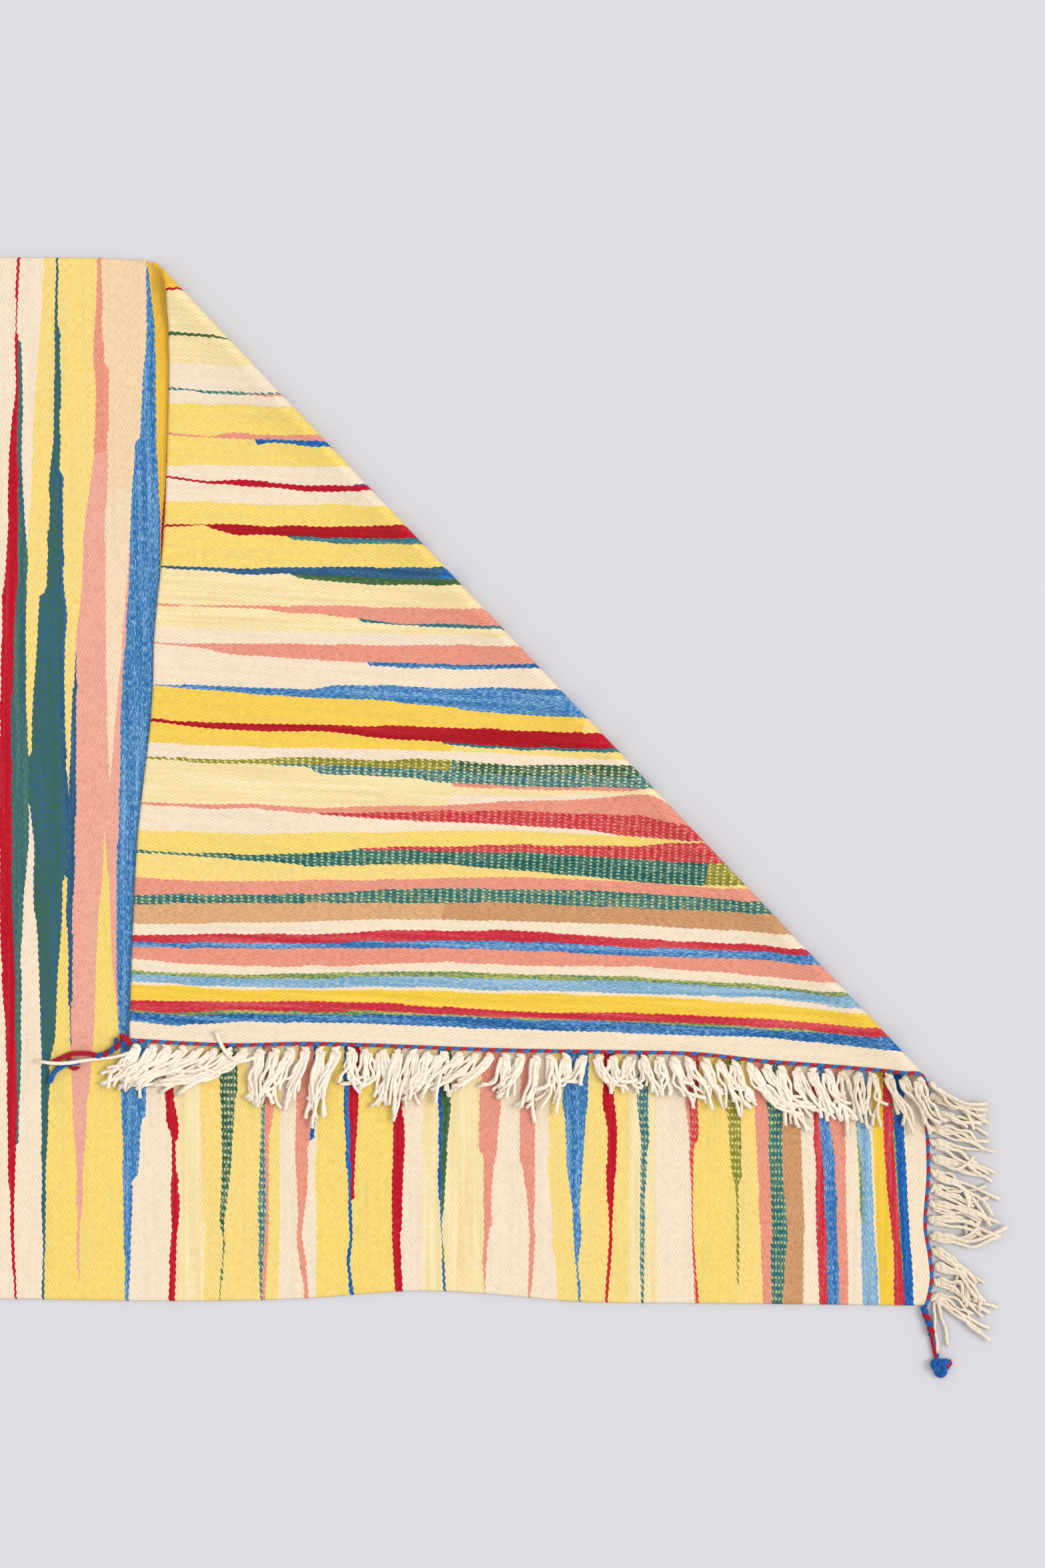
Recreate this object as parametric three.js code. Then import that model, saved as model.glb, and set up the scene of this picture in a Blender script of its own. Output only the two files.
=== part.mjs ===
// A Persian kilim: a flat-woven wool rug, 1.2 m long and 0.8 m wide, lying on the floor with one
// corner turned over the cloth. Each end has a two-colour twined cord and a knotted warp fringe.
// Millimetres, +Z up, floor at z = 0. Cloth places are worked out flat, as (u, v, h): u along the
// length, v across it, h up from the underside, and lay() carries them into the folded shape.
import * as THREE from 'three';

// Driving sizes of the cloth
const clothThickness = 3.0;
const layerGap = 0.3;
const pieceGap = 0.3;
const halfLength = 600;
const cordHalfWidth = 1.7;
const cordHalfHeight = 1.5;

// The turned corner: a line at a slant to the rug, a round roll, and a slow way down to the flap
const foldSlant = THREE.MathUtils.degToRad(43.375);
const foldOutside = 278.7;
const rollRadius = 5.0;
const rollPastUpright = THREE.MathUtils.degToRad(20);
const halfThickness = clothThickness / 2;
const fallRadius = (rollRadius * (1 + Math.cos(rollPastUpright)) - clothThickness - layerGap)
  / (1 - Math.cos(rollPastUpright));
const rollStart = foldOutside - rollRadius - halfThickness;
const rollEnd = rollStart + rollRadius * (Math.PI + rollPastUpright);
const fallEnd = rollEnd + fallRadius * rollPastUpright;
const across = new THREE.Vector2(Math.cos(foldSlant), Math.sin(foldSlant));
const along = new THREE.Vector2(across.y, -across.x);

// How far each edge of the cloth wanders: "at" runs along the edge, "place" is where it lies
const frontSelvedge = [
  { at: -600, place: -401 }, { at: -300, place: -398.5 }, { at: -110, place: -399.6 },
  { at: 20, place: -401.2 }, { at: 115, place: -399.6 }, { at: 206, place: -393.5 },
  { at: 267, place: -396 }, { at: 330, place: -401.7 }, { at: 450, place: -403.2 },
  { at: 620, place: -405 },
];
const backSelvedge = [
  { at: -600, place: 401 }, { at: -350, place: 399 }, { at: -10, place: 399.4 },
  { at: 28, place: 390 }, { at: 60, place: 386.8 }, { at: 95, place: 384.4 },
  { at: 130, place: 383.2 }, { at: 220, place: 381.5 },
  { at: 300, place: 384.5 }, { at: 350, place: 383 }, { at: 460, place: 388.5 },
  { at: 620, place: 386 },
];
const rightCordLine = [
  { at: -410, place: 598 }, { at: -395, place: 602 }, { at: -383, place: 603.8 },
  { at: -365, place: 602 }, { at: -343, place: 598.8 }, { at: -302, place: 601.2 },
  { at: -250, place: 599.6 }, { at: -100, place: 597 }, { at: -50, place: 594.5 },
  { at: 0, place: 596 }, { at: 100, place: 600 }, { at: 200, place: 602 },
  { at: 250, place: 603.6 }, { at: 310, place: 608 }, { at: 390, place: 608.6 },
];
const leftCordLine = [
  { at: -410, place: -601 }, { at: -200, place: -598 }, { at: 0, place: -600.5 },
  { at: 200, place: -597.5 }, { at: 410, place: -600 },
];

// A smooth curve through the rows of one edge
function edgePlace(rows, at) {
  const slope = (i) => {
    const a = rows[Math.max(i - 1, 0)];
    const b = rows[Math.min(i + 1, rows.length - 1)];
    return (b.place - a.place) / (b.at - a.at);
  };
  const last = rows.length - 2;
  const i = Math.min(Math.max(rows.findLastIndex((row) => row.at <= at), 0), last);
  const span = rows[i + 1].at - rows[i].at;
  const t = (at - rows[i].at) / span;
  const rise = t * t * (3 - 2 * t);
  const leave = t * (1 - t) * (1 - t) * slope(i);
  const arrive = t * t * (t - 1) * slope(i + 1);
  return rows[i].place + (rows[i + 1].place - rows[i].place) * rise + (leave + arrive) * span;
}

// Carries a place on the flat cloth into the folded rug
function lay(u, v, h) {
  const s = u * across.x + v * across.y;
  const q = u * along.x + v * along.y;
  const lift = h - halfThickness;
  let out = s;
  let z = h;
  if (s > rollStart && s <= rollEnd) {
    const turn = (s - rollStart) / rollRadius;
    out = rollStart + (rollRadius - lift) * Math.sin(turn);
    z = halfThickness + rollRadius - (rollRadius - lift) * Math.cos(turn);
  } else if (s > rollEnd) {
    const turn = Math.PI + rollPastUpright - Math.min((s - rollEnd) / fallRadius, rollPastUpright);
    const flat = Math.max(s - fallEnd, 0);
    const bend = fallRadius + lift;
    out = rollStart - (rollRadius + fallRadius) * Math.sin(rollPastUpright)
      - bend * Math.sin(turn) - flat;
    z = halfThickness + rollRadius + (rollRadius + fallRadius) * Math.cos(rollPastUpright)
      + bend * Math.cos(turn);
  }
  return new THREE.Vector3(
    out * across.x + q * along.x,
    out * across.y + q * along.y,
    z,
  );
}

// One closed body from its points and triangles, turned right side out
function closedBody(name, points, faces, material) {
  const volume = faces.reduce((sum, [a, b, c]) => (
    sum + points[a].dot(points[b].clone().cross(points[c]))
  ), 0);
  const order = volume < 0 ? faces.map(([a, b, c]) => [a, c, b]) : faces;
  const geometry = new THREE.BufferGeometry().setFromPoints(points);
  geometry.setIndex(order.flat());
  geometry.computeVertexNormals();
  const mesh = new THREE.Mesh(geometry, material);
  mesh.name = name;
  return mesh;
}

// A body through rings of the same number of points, closed by its first and last ring
function loft(name, rings, material) {
  const sides = rings[0].length;
  const faces = [];
  for (let i = 0; i < rings.length - 1; i += 1) {
    for (let k = 0; k < sides; k += 1) {
      const a = i * sides + k;
      const b = i * sides + ((k + 1) % sides);
      faces.push([a, b, b + sides], [a, b + sides, a + sides]);
    }
  }
  const end = (rings.length - 1) * sides;
  for (let k = 1; k < sides - 1; k += 1) {
    faces.push([0, k + 1, k], [end, end + k, end + k + 1]);
  }
  return closedBody(name, rings.flat(), faces, material);
}

// Even steps from one place to another, the last place left out
function evenSteps(from, to, step) {
  const count = Math.max(Math.round(Math.abs(to - from) / step), 1);
  return Array.from({ length: count }, (_, i) => from + ((to - from) * i) / count);
}

function wool(color) {
  return new THREE.MeshStandardMaterial({ color, roughness: 0.95, metalness: 0 });
}

const creamWool = wool(0xf3e0bd);
const redWool = wool(0xc4203a);
const blueWool = wool(0x2a78c2);
const warpWool = wool(0xf7ead2);

// The woven cloth, one sheet: slices parallel to the fold, close together where it rolls
const flatStep = 15;
const cornerStep = 5.5;
const rollStep = rollRadius * THREE.MathUtils.degToRad(12.5);
const fallStep = 6.2;
const cornerTrim = 1.2;
const chordSlack = 0.15;
const clothRetreat = cordHalfWidth + pieceGap + chordSlack;

function onCloth(u, v) {
  return u < edgePlace(rightCordLine, v) - clothRetreat
    && u > edgePlace(leftCordLine, v) + clothRetreat
    && v > edgePlace(frontSelvedge, u)
    && v < edgePlace(backSelvedge, u);
}

function clothCorner(cordLine, side, selvedge) {
  let u = side * halfLength;
  let v = 0;
  for (let i = 0; i < 8; i += 1) {
    v = edgePlace(selvedge, u);
    u = edgePlace(cordLine, v) - side * clothRetreat;
  }
  return new THREE.Vector2(u, v);
}

function clothMesh() {
  const frontLeft = clothCorner(leftCordLine, -1, frontSelvedge);
  const backLeft = clothCorner(leftCordLine, -1, backSelvedge);
  const frontRight = clothCorner(rightCordLine, 1, frontSelvedge);
  const backRight = clothCorner(rightCordLine, 1, backSelvedge);
  const first = frontLeft.dot(across) + cornerTrim;
  const last = backRight.dot(across) - cornerTrim;
  const marks = [
    { from: first, step: flatStep },
    { from: backLeft.dot(across), step: flatStep },
    { from: frontRight.dot(across), step: cornerStep },
    { from: rollStart, step: rollStep },
    { from: rollEnd, step: fallStep },
    { from: fallEnd, step: flatStep },
  ];
  const slices = marks.flatMap(({ from, step }, i) => (
    evenSteps(from, marks[i + 1]?.from ?? last, step)
  ));
  slices.push(last);
  const rings = slices.map((s) => {
    const t = (s - frontLeft.dot(across)) / (backRight.dot(across) - frontLeft.dot(across));
    const middle = frontLeft.clone().lerp(backRight, t);
    const reach = (side) => {
      let inside = 0;
      let outside = 2 * halfLength;
      for (let i = 0; i < 40; i += 1) {
        const half = (inside + outside) / 2;
        const place = middle.clone().addScaledVector(along, side * half);
        if (onCloth(place.x, place.y)) inside = half;
        else outside = half;
      }
      return middle.clone().addScaledVector(along, side * inside);
    };
    const near = reach(-1);
    const far = reach(1);
    return [
      lay(near.x, near.y, 0), lay(far.x, far.y, 0),
      lay(far.x, far.y, clothThickness), lay(near.x, near.y, clothThickness),
    ];
  });
  return loft('kilim_cloth', rings, creamWool);
}

// The twined end cord: red and blue strands that cross, so each colour shows as a slanted bead
const cordPeriod = 10.75;
const beadLength = cordPeriod / 2;
const cordWaist = 0.7;
const cordSlant = 1.1;
const frontCordEnd = -405.5;
const backCordEnd = 386.5;

function endCord(name, cordLine, from, to) {
  const steps = 2 * Math.round((to - from) / beadLength);
  const rings = Array.from({ length: steps + 1 }, (_, i) => {
    const v = from + ((to - from) * i) / steps;
    const waist = i % 2 === 0;
    const wide = cordHalfWidth * (waist ? cordWaist : 1);
    const high = cordHalfHeight * (waist ? cordWaist : 1);
    const slant = waist && i > 0 && i < steps ? cordSlant : 0;
    return [[wide, 0], [0, high], [-wide, 0], [0, -high]].map(([du, dh]) => {
      const place = v + (slant * du) / cordHalfWidth;
      return lay(edgePlace(cordLine, place) + du, place, cordHalfHeight + dh);
    });
  });
  return loft(name, rings, redWool);
}

// The knotted fringe. A backing is one stretch of knots, and each knot lets out two locks of
// warp yarn, three-sided, with the flat side down.
const knotPitch = 11.79;
const locksPerKnot = 2;
const knotBack = cordHalfWidth + pieceGap;
const knotDepth = 5.4;
const notchDepth = 3.2;
const knotHeight = 3.9;
const notchHeight = 2.1;
const lockRootHeight = 3.3;
const backingGap = 0.6;
const layerRest = clothThickness + layerGap;
const leaveStraight = 0.45;
const lengthSway = 0.06;
const lockRings = [
  { t: 0.25, width: 3.8, height: 2.8 },
  { t: 0.5, width: 3.3, height: 2.6 },
  { t: 0.75, width: 2.7, height: 2.3 },
  { t: 1, width: 1.6, height: 1.3 },
];

// One lock of yarn: rings along a bend that leaves the knot and comes down to rest at its tip.
// Its rings keep the root's hand and are joined with the least twist.
function addLock(points, faces, root, handed, { leave, tip, rest }) {
  const [low, high] = root.map((index) => points[index]);
  const start = low.clone().add(high).divideScalar(2);
  let previous = root;
  let order = [0, 1, 2];
  lockRings.forEach(({ t, width, height }, i) => {
    const centre = start.clone().multiplyScalar((1 - t) * (1 - t))
      .addScaledVector(leave, 2 * t * (1 - t)).addScaledVector(tip, t * t);
    centre.z = rest + (start.z - rest) * (1 - t) * (1 - t);
    const heading = leave.clone().sub(start).multiplyScalar(1 - t)
      .add(tip.clone().sub(leave).multiplyScalar(t)).setZ(0).normalize();
    const side = new THREE.Vector3(-heading.y, heading.x, 0).multiplyScalar(handed);
    const corners = [
      centre.clone().addScaledVector(side, -width / 2),
      centre.clone().addScaledVector(side, width / 2),
      centre.clone().setZ(centre.z + height),
    ];
    if (i === 0) {
      const twist = (turned) => turned.reduce((sum, corner, k) => (
        sum + corners[corner].distanceTo(points[root[k]])
      ), 0);
      order = [[0, 1, 2], [1, 2, 0], [2, 0, 1]].sort((a, b) => twist(a) - twist(b))[0];
    }
    const ring = order.map((corner) => points.push(corners[corner]) - 1);
    for (let k = 0; k < 3; k += 1) {
      const next = (k + 1) % 3;
      faces.push([previous[k], previous[next], ring[next]], [previous[k], ring[next], ring[k]]);
    }
    previous = ring;
  });
  faces.push(previous);
}

// Tufts of a fringe, in order along the edge: how many knots gather into each, how far their
// tips lean along the edge, how much they draw together, and how far they reach out from it
function tuftTips(tufts, from) {
  const tips = [];
  let start = from;
  tufts.forEach(({ knots, lean, gather, reach }) => {
    const middle = start + (knots * knotPitch) / 2;
    for (let k = 0; k < knots * locksPerKnot; k += 1) {
      const root = start + ((k + 0.5) * knotPitch) / locksPerKnot;
      const shift = lean + (root - middle) * (gather - 1);
      const stretch = 1 + lengthSway * Math.sin(2.4 * tips.length + reach);
      tips.push({ v: root + shift * stretch, out: reach * stretch });
    }
    start += knots * knotPitch;
  });
  return tips;
}

// side is 1 at the right end and -1 at the left, and turned says that the cloth is upside down
// there, so that its face lies below and its underside shows
function fringe(name, { cordLine, side, turned, from, tips, rest }) {
  const points = [];
  const faces = [];
  const knots = tips.length / locksPerKnot;
  const stations = tips.length;
  const ground = turned ? clothThickness : 0;
  const up = turned ? -1 : 1;
  const start = from + backingGap / 2;
  const pitch = (knots * knotPitch - backingGap) / stations;
  const place = (j, out, h) => {
    const v = start + pitch * j;
    return lay(edgePlace(cordLine, v) + side * (knotBack + out), v, ground + up * h);
  };
  const rows = { backLow: [], backHigh: [], frontLow: [], frontHigh: [] };
  for (let j = 0; j <= stations; j += 1) {
    const notch = j % locksPerKnot === 0;
    rows.backLow.push(points.push(place(j, 0, 0)) - 1);
    rows.backHigh.push(points.push(place(j, 0, notch ? notchHeight : knotHeight)) - 1);
    rows.frontLow.push(points.push(place(j, notch ? notchDepth : knotDepth, 0)) - 1);
    if (j < stations) {
      rows.frontHigh.push(points.push(place(j + 0.5, knotDepth * 0.85, lockRootHeight)) - 1);
    }
  }
  const { backLow, backHigh, frontLow, frontHigh } = rows;
  tips.forEach((tip, j) => {
    const top = frontHigh[j];
    faces.push([backLow[j], backLow[j + 1], frontLow[j + 1]]);
    faces.push([backLow[j], frontLow[j + 1], frontLow[j]]);
    faces.push([backLow[j], backHigh[j], backHigh[j + 1]]);
    faces.push([backLow[j], backHigh[j + 1], backLow[j + 1]]);
    faces.push([backHigh[j], top, backHigh[j + 1]]);
    if (j + 1 < stations) {
      faces.push([backHigh[j + 1], top, frontHigh[j + 1]]);
      faces.push([frontLow[j + 1], frontHigh[j + 1], top]);
    }
    const v = start + pitch * (j + 0.5);
    const edge = edgePlace(cordLine, v) + side * (knotBack + knotDepth);
    const reach = tip.out ?? 0;
    const carry = turned ? lay : (u, flatV, h) => new THREE.Vector3(u, flatV, h);
    const leave = carry(edge + side * reach * leaveStraight, v, halfThickness);
    const end = carry(edge + side * reach, tip.v ?? v, halfThickness);
    if (tip.x !== undefined) {
      end.set(tip.x, tip.y, 0);
      leave.copy(points[top]).lerp(end, leaveStraight);
    }
    addLock(points, faces, [frontLow[j], frontLow[j + 1], top], side * up, {
      leave, tip: end, rest: tip.rest ?? rest,
    });
  });
  faces.push([backLow[0], frontLow[0], frontHigh[0]], [backLow[0], frontHigh[0], backHigh[0]]);
  faces.push([backLow[stations], backHigh[stations], frontHigh[stations - 1]]);
  faces.push([backLow[stations], frontHigh[stations - 1], frontLow[stations]]);
  return closedBody(name, points, faces, warpWool);
}

const fringeStart = -404;
const floorTufts = [
  { knots: 1, lean: -30, gather: 1.3, reach: 12 },
  { knots: 2, lean: -22, gather: 0.95, reach: 37 },
  { knots: 2, lean: -18, gather: 0.9, reach: 38 },
  { knots: 5, lean: -7, gather: 0.66, reach: 44 },
  { knots: 4, lean: -17, gather: 0.8, reach: 43 },
];
const foldTufts = [{ knots: 5, lean: -9, gather: 0.9, reach: 34 }];
const foldTips = [
  { x: 646, y: -257, rest: 3.2 },
  { x: 640, y: -246, rest: 3.2 },
  { x: 611, y: -263, rest: 4.6 },
  { x: 601, y: -272, rest: 4.6 },
];
const flapTufts = [
  { knots: 6, lean: -22, gather: 0.9, reach: 42 },
  { knots: 5, lean: -19, gather: 0.86, reach: 44 },
  { knots: 5, lean: -14, gather: 0.8, reach: 36 },
  { knots: 4, lean: 4, gather: 0.75, reach: 27 },
  { knots: 5, lean: -6, gather: 0.7, reach: 44 },
  { knots: 5, lean: 19, gather: 0.86, reach: 39 },
  { knots: 4, lean: 15, gather: 0.8, reach: 47 },
  { knots: 4, lean: 10, gather: 0.75, reach: 48 },
  { knots: 4, lean: 8, gather: 0.75, reach: 50 },
  { knots: 4, lean: 20, gather: 0.95, reach: 38 },
];
const leftTufts = [
  { knots: 6, lean: -9, gather: 0.75, reach: 42 },
  { knots: 9, lean: 6, gather: 0.7, reach: 45 },
  { knots: 8, lean: -4, gather: 0.68, reach: 44 },
  { knots: 10, lean: 10, gather: 0.75, reach: 43 },
  { knots: 9, lean: -8, gather: 0.75, reach: 46 },
  { knots: 8, lean: 5, gather: 0.7, reach: 44 },
  { knots: 10, lean: -6, gather: 0.72, reach: 42 },
  { knots: 7, lean: 9, gather: 0.75, reach: 44 },
];

function knotsIn(tufts) {
  return tufts.reduce((sum, { knots }) => sum + knots, 0);
}

const foldFrom = fringeStart + knotsIn(floorTufts) * knotPitch;
const foldTuftsFrom = foldFrom + (foldTips.length / locksPerKnot) * knotPitch;
const flapFrom = foldTuftsFrom + knotsIn(foldTufts) * knotPitch;

function fringes() {
  return [
    fringe('fringe_right_floor', {
      cordLine: rightCordLine, side: 1, turned: false, from: fringeStart,
      tips: tuftTips(floorTufts, fringeStart), rest: 0,
    }),
    fringe('fringe_right_fold', {
      cordLine: rightCordLine, side: 1, turned: true, from: foldFrom,
      tips: [...foldTips, ...tuftTips(foldTufts, foldTuftsFrom)], rest: layerRest,
    }),
    fringe('fringe_right_flap', {
      cordLine: rightCordLine, side: 1, turned: true, from: flapFrom,
      tips: tuftTips(flapTufts, flapFrom), rest: layerRest,
    }),
    fringe('fringe_left', {
      cordLine: leftCordLine, side: -1, turned: false, from: fringeStart + knotPitch / 2,
      tips: tuftTips(leftTufts, fringeStart + knotPitch / 2), rest: 0,
    }),
  ];
}

// The cord's own ends hang on at each corner as short twisted tails. A tail is swept through the
// rows of its path, with a waist at each crossing, and may end in a fat knot.
const tailRadius = 2.1;
const tailWaist = 0.74;
const tailStep = 2.7;
const tailSides = 6;
const knotFlatness = 0.62;

function tail(name, material, { path, rest, knotRadius }) {
  const curve = new THREE.CatmullRomCurve3(path.map(([x, y]) => new THREE.Vector3(x, y, 0)));
  const length = curve.getLength();
  const steps = Math.round(length / tailStep);
  const knotSpan = (2 * (knotRadius ?? 0)) / length;
  const rings = Array.from({ length: steps + 1 }, (_, i) => {
    const t = i / steps;
    const centre = curve.getPointAt(t);
    const heading = curve.getTangentAt(t);
    const side = new THREE.Vector3(-heading.y, heading.x, 0);
    let wide = tailRadius * (i % 2 === 0 ? tailWaist : 1);
    let high = wide;
    if (knotRadius && t > 1 - knotSpan) {
      const swell = (t - (1 - knotSpan)) / knotSpan;
      const bulge = Math.sqrt(Math.max(1 - (2 * swell - 1) ** 2, 0.06));
      wide = Math.max(knotRadius * bulge, tailRadius * tailWaist);
      high = wide * knotFlatness;
    }
    return Array.from({ length: tailSides }, (__, k) => {
      const angle = (k / tailSides) * 2 * Math.PI;
      const point = centre.clone().addScaledVector(side, wide * Math.cos(angle));
      point.z = rest + high * (Math.sin(Math.PI / 3) + Math.sin(angle));
      return point;
    });
  });
  return loft(name, rings, material);
}

function tails() {
  return [
    tail('tail_right_front', blueWool, {
      rest: 0,
      knotRadius: 8,
      path: [[598.2, -406.2], [599.5, -416], [602.5, -428], [605.5, -438], [610, -448], [614, -456]],
    }),
    tail('tail_flap_blue', blueWool, {
      rest: layerRest,
      path: [
        [-13.3, -201], [-24, -205.5], [-36, -211], [-48, -213.5],
        [-58, -215], [-67, -220], [-73, -228], [-74.5, -236],
      ],
    }),
    tail('tail_flap_red', redWool, {
      rest: layerRest,
      path: [[-53.4, -210], [-61, -211], [-69, -212.8], [-76, -216]],
    }),
    tail('tail_left_front', blueWool, {
      rest: 0,
      knotRadius: 8,
      path: [[-601, -401.4], [-602, -417], [-605, -430], [-608, -440], [-613, -450], [-617, -457]],
    }),
    tail('tail_left_back', redWool, {
      rest: 0,
      knotRadius: 7.5,
      path: [[-600, 400.6], [-602.5, 413], [-607, 424], [-612, 434], [-616, 443], [-619, 450]],
    }),
  ];
}

const kilim = new THREE.Group();
kilim.add(clothMesh());
kilim.add(endCord('end_cord_right', rightCordLine, frontCordEnd, backCordEnd));
kilim.add(endCord('end_cord_left', leftCordLine, -401, 400));
kilim.add(...fringes());
kilim.add(...tails());

export default kilim;
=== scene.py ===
"""A Persian kilim: a flat-woven wool rug with one corner turned over, seen from straight above.

Places on the cloth are worked out flat, in millimetres, as (u, v, h): u along the rug, v across
it and h up from its underside. lay() carries them into the folded rug, in the frame's metres.
"""

import math
import random

import bmesh
import bpy
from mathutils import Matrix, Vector


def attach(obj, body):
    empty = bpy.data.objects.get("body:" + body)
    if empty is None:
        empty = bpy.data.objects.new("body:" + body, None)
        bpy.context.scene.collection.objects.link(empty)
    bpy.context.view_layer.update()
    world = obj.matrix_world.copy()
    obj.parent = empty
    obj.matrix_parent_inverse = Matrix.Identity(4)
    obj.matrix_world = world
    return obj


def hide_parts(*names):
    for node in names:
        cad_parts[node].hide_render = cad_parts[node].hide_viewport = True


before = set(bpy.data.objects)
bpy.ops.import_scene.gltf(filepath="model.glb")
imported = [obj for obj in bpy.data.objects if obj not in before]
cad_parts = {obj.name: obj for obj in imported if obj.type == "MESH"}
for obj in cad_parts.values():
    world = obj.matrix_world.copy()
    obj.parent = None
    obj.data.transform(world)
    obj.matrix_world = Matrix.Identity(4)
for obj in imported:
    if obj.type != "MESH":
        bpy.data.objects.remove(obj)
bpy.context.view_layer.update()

# The woven cloth
# One sheet of weft-faced plain weave, 292 warps wide and 3 mm thick. Each weft is packed down
# over the warps, so the face is all small beads of dyed wool, and a change of colour steps from
# bead to bead. The two long edges are selvedges, round where the wefts turn back.
mm = 0.001
thickness = 3.0
half_thickness = thickness / 2
layer_gap = 0.3
selvedge = 400
far_end, near_end = -600, 600
warps = 292
warp_pitch = 2.74
bead_pitch = 2.56

# The fold: the cloth rises over a roll, comes down on its other side, and falls level
fold_slant = math.radians(43.375)
fold_outside = 278.7
roll_radius = 5.0
roll_past_upright = math.radians(20)
fall_radius = (
    roll_radius * (1 + math.cos(roll_past_upright)) - thickness - layer_gap
) / (1 - math.cos(roll_past_upright))
roll_start = fold_outside - roll_radius - half_thickness
roll_end = roll_start + roll_radius * (math.pi + roll_past_upright)
fall_end = roll_end + fall_radius * roll_past_upright
across = Vector((math.cos(fold_slant), math.sin(fold_slant)))
along = Vector((across.y, -across.x))


def lay(u, v, h):
    """Carries a place on the flat cloth into the folded rug."""
    s = u * across.x + v * across.y
    q = u * along.x + v * along.y
    lift = h - half_thickness
    out, z = s, h
    if roll_start < s <= roll_end:
        turn = (s - roll_start) / roll_radius
        out = roll_start + (roll_radius - lift) * math.sin(turn)
        z = half_thickness + roll_radius - (roll_radius - lift) * math.cos(turn)
    elif s > roll_end:
        turn = math.pi + roll_past_upright - min((s - roll_end) / fall_radius, roll_past_upright)
        bend = fall_radius + lift
        out = (
            roll_start
            - (roll_radius + fall_radius) * math.sin(roll_past_upright)
            - bend * math.sin(turn)
            - max(s - fall_end, 0)
        )
        z = (
            half_thickness
            + roll_radius
            + (roll_radius + fall_radius) * math.cos(roll_past_upright)
            + bend * math.cos(turn)
        )
    place = out * across + q * along
    return Vector((place.x, place.y, z)) * mm


# How far each edge of the cloth wanders: rows of (how far along the edge, where it lies)
front_selvedge = (
    (-600, -401), (-300, -398.5), (-110, -399.6), (20, -401.2), (115, -399.6),
    (206, -393.5), (267, -396), (330, -401.7), (450, -403.2), (620, -405),
)
back_selvedge = (
    (-600, 401), (-350, 399), (-10, 399.4), (28, 390), (60, 386.8), (95, 384.4),
    (130, 383.2), (220, 381.5), (300, 384.5), (350, 383), (460, 388.5), (620, 386),
)
right_cord_line = (
    (-410, 598), (-395, 602), (-383, 603.8), (-365, 602), (-343, 598.8), (-302, 601.2),
    (-250, 599.6), (-100, 597), (-50, 594.5), (0, 596), (100, 600), (200, 602),
    (250, 603.6), (310, 608), (390, 608.6),
)
left_cord_line = ((-410, -601), (-200, -598), (0, -600.5), (200, -597.5), (410, -600))


def edge_place(rows, at):
    """A smooth curve through the rows of one edge."""
    last = len(rows) - 2
    i = min(max(sum(row[0] <= at for row in rows) - 1, 0), last)

    def slope(k):
        a, b = rows[max(k - 1, 0)], rows[min(k + 1, last + 1)]
        return (b[1] - a[1]) / (b[0] - a[0])

    span = rows[i + 1][0] - rows[i][0]
    t = (at - rows[i][0]) / span
    rise = t * t * (3 - 2 * t)
    leave = t * (1 - t) * (1 - t) * slope(i)
    arrive = t * t * (t - 1) * slope(i + 1)
    return rows[i][1] + (rows[i + 1][1] - rows[i][1]) * rise + (leave + arrive) * span


def warp_place(i, u):
    """Where warp i of the cloth lies across it."""
    front, back = edge_place(front_selvedge, u), edge_place(back_selvedge, u)
    return front + (back - front) * i / warps


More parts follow.
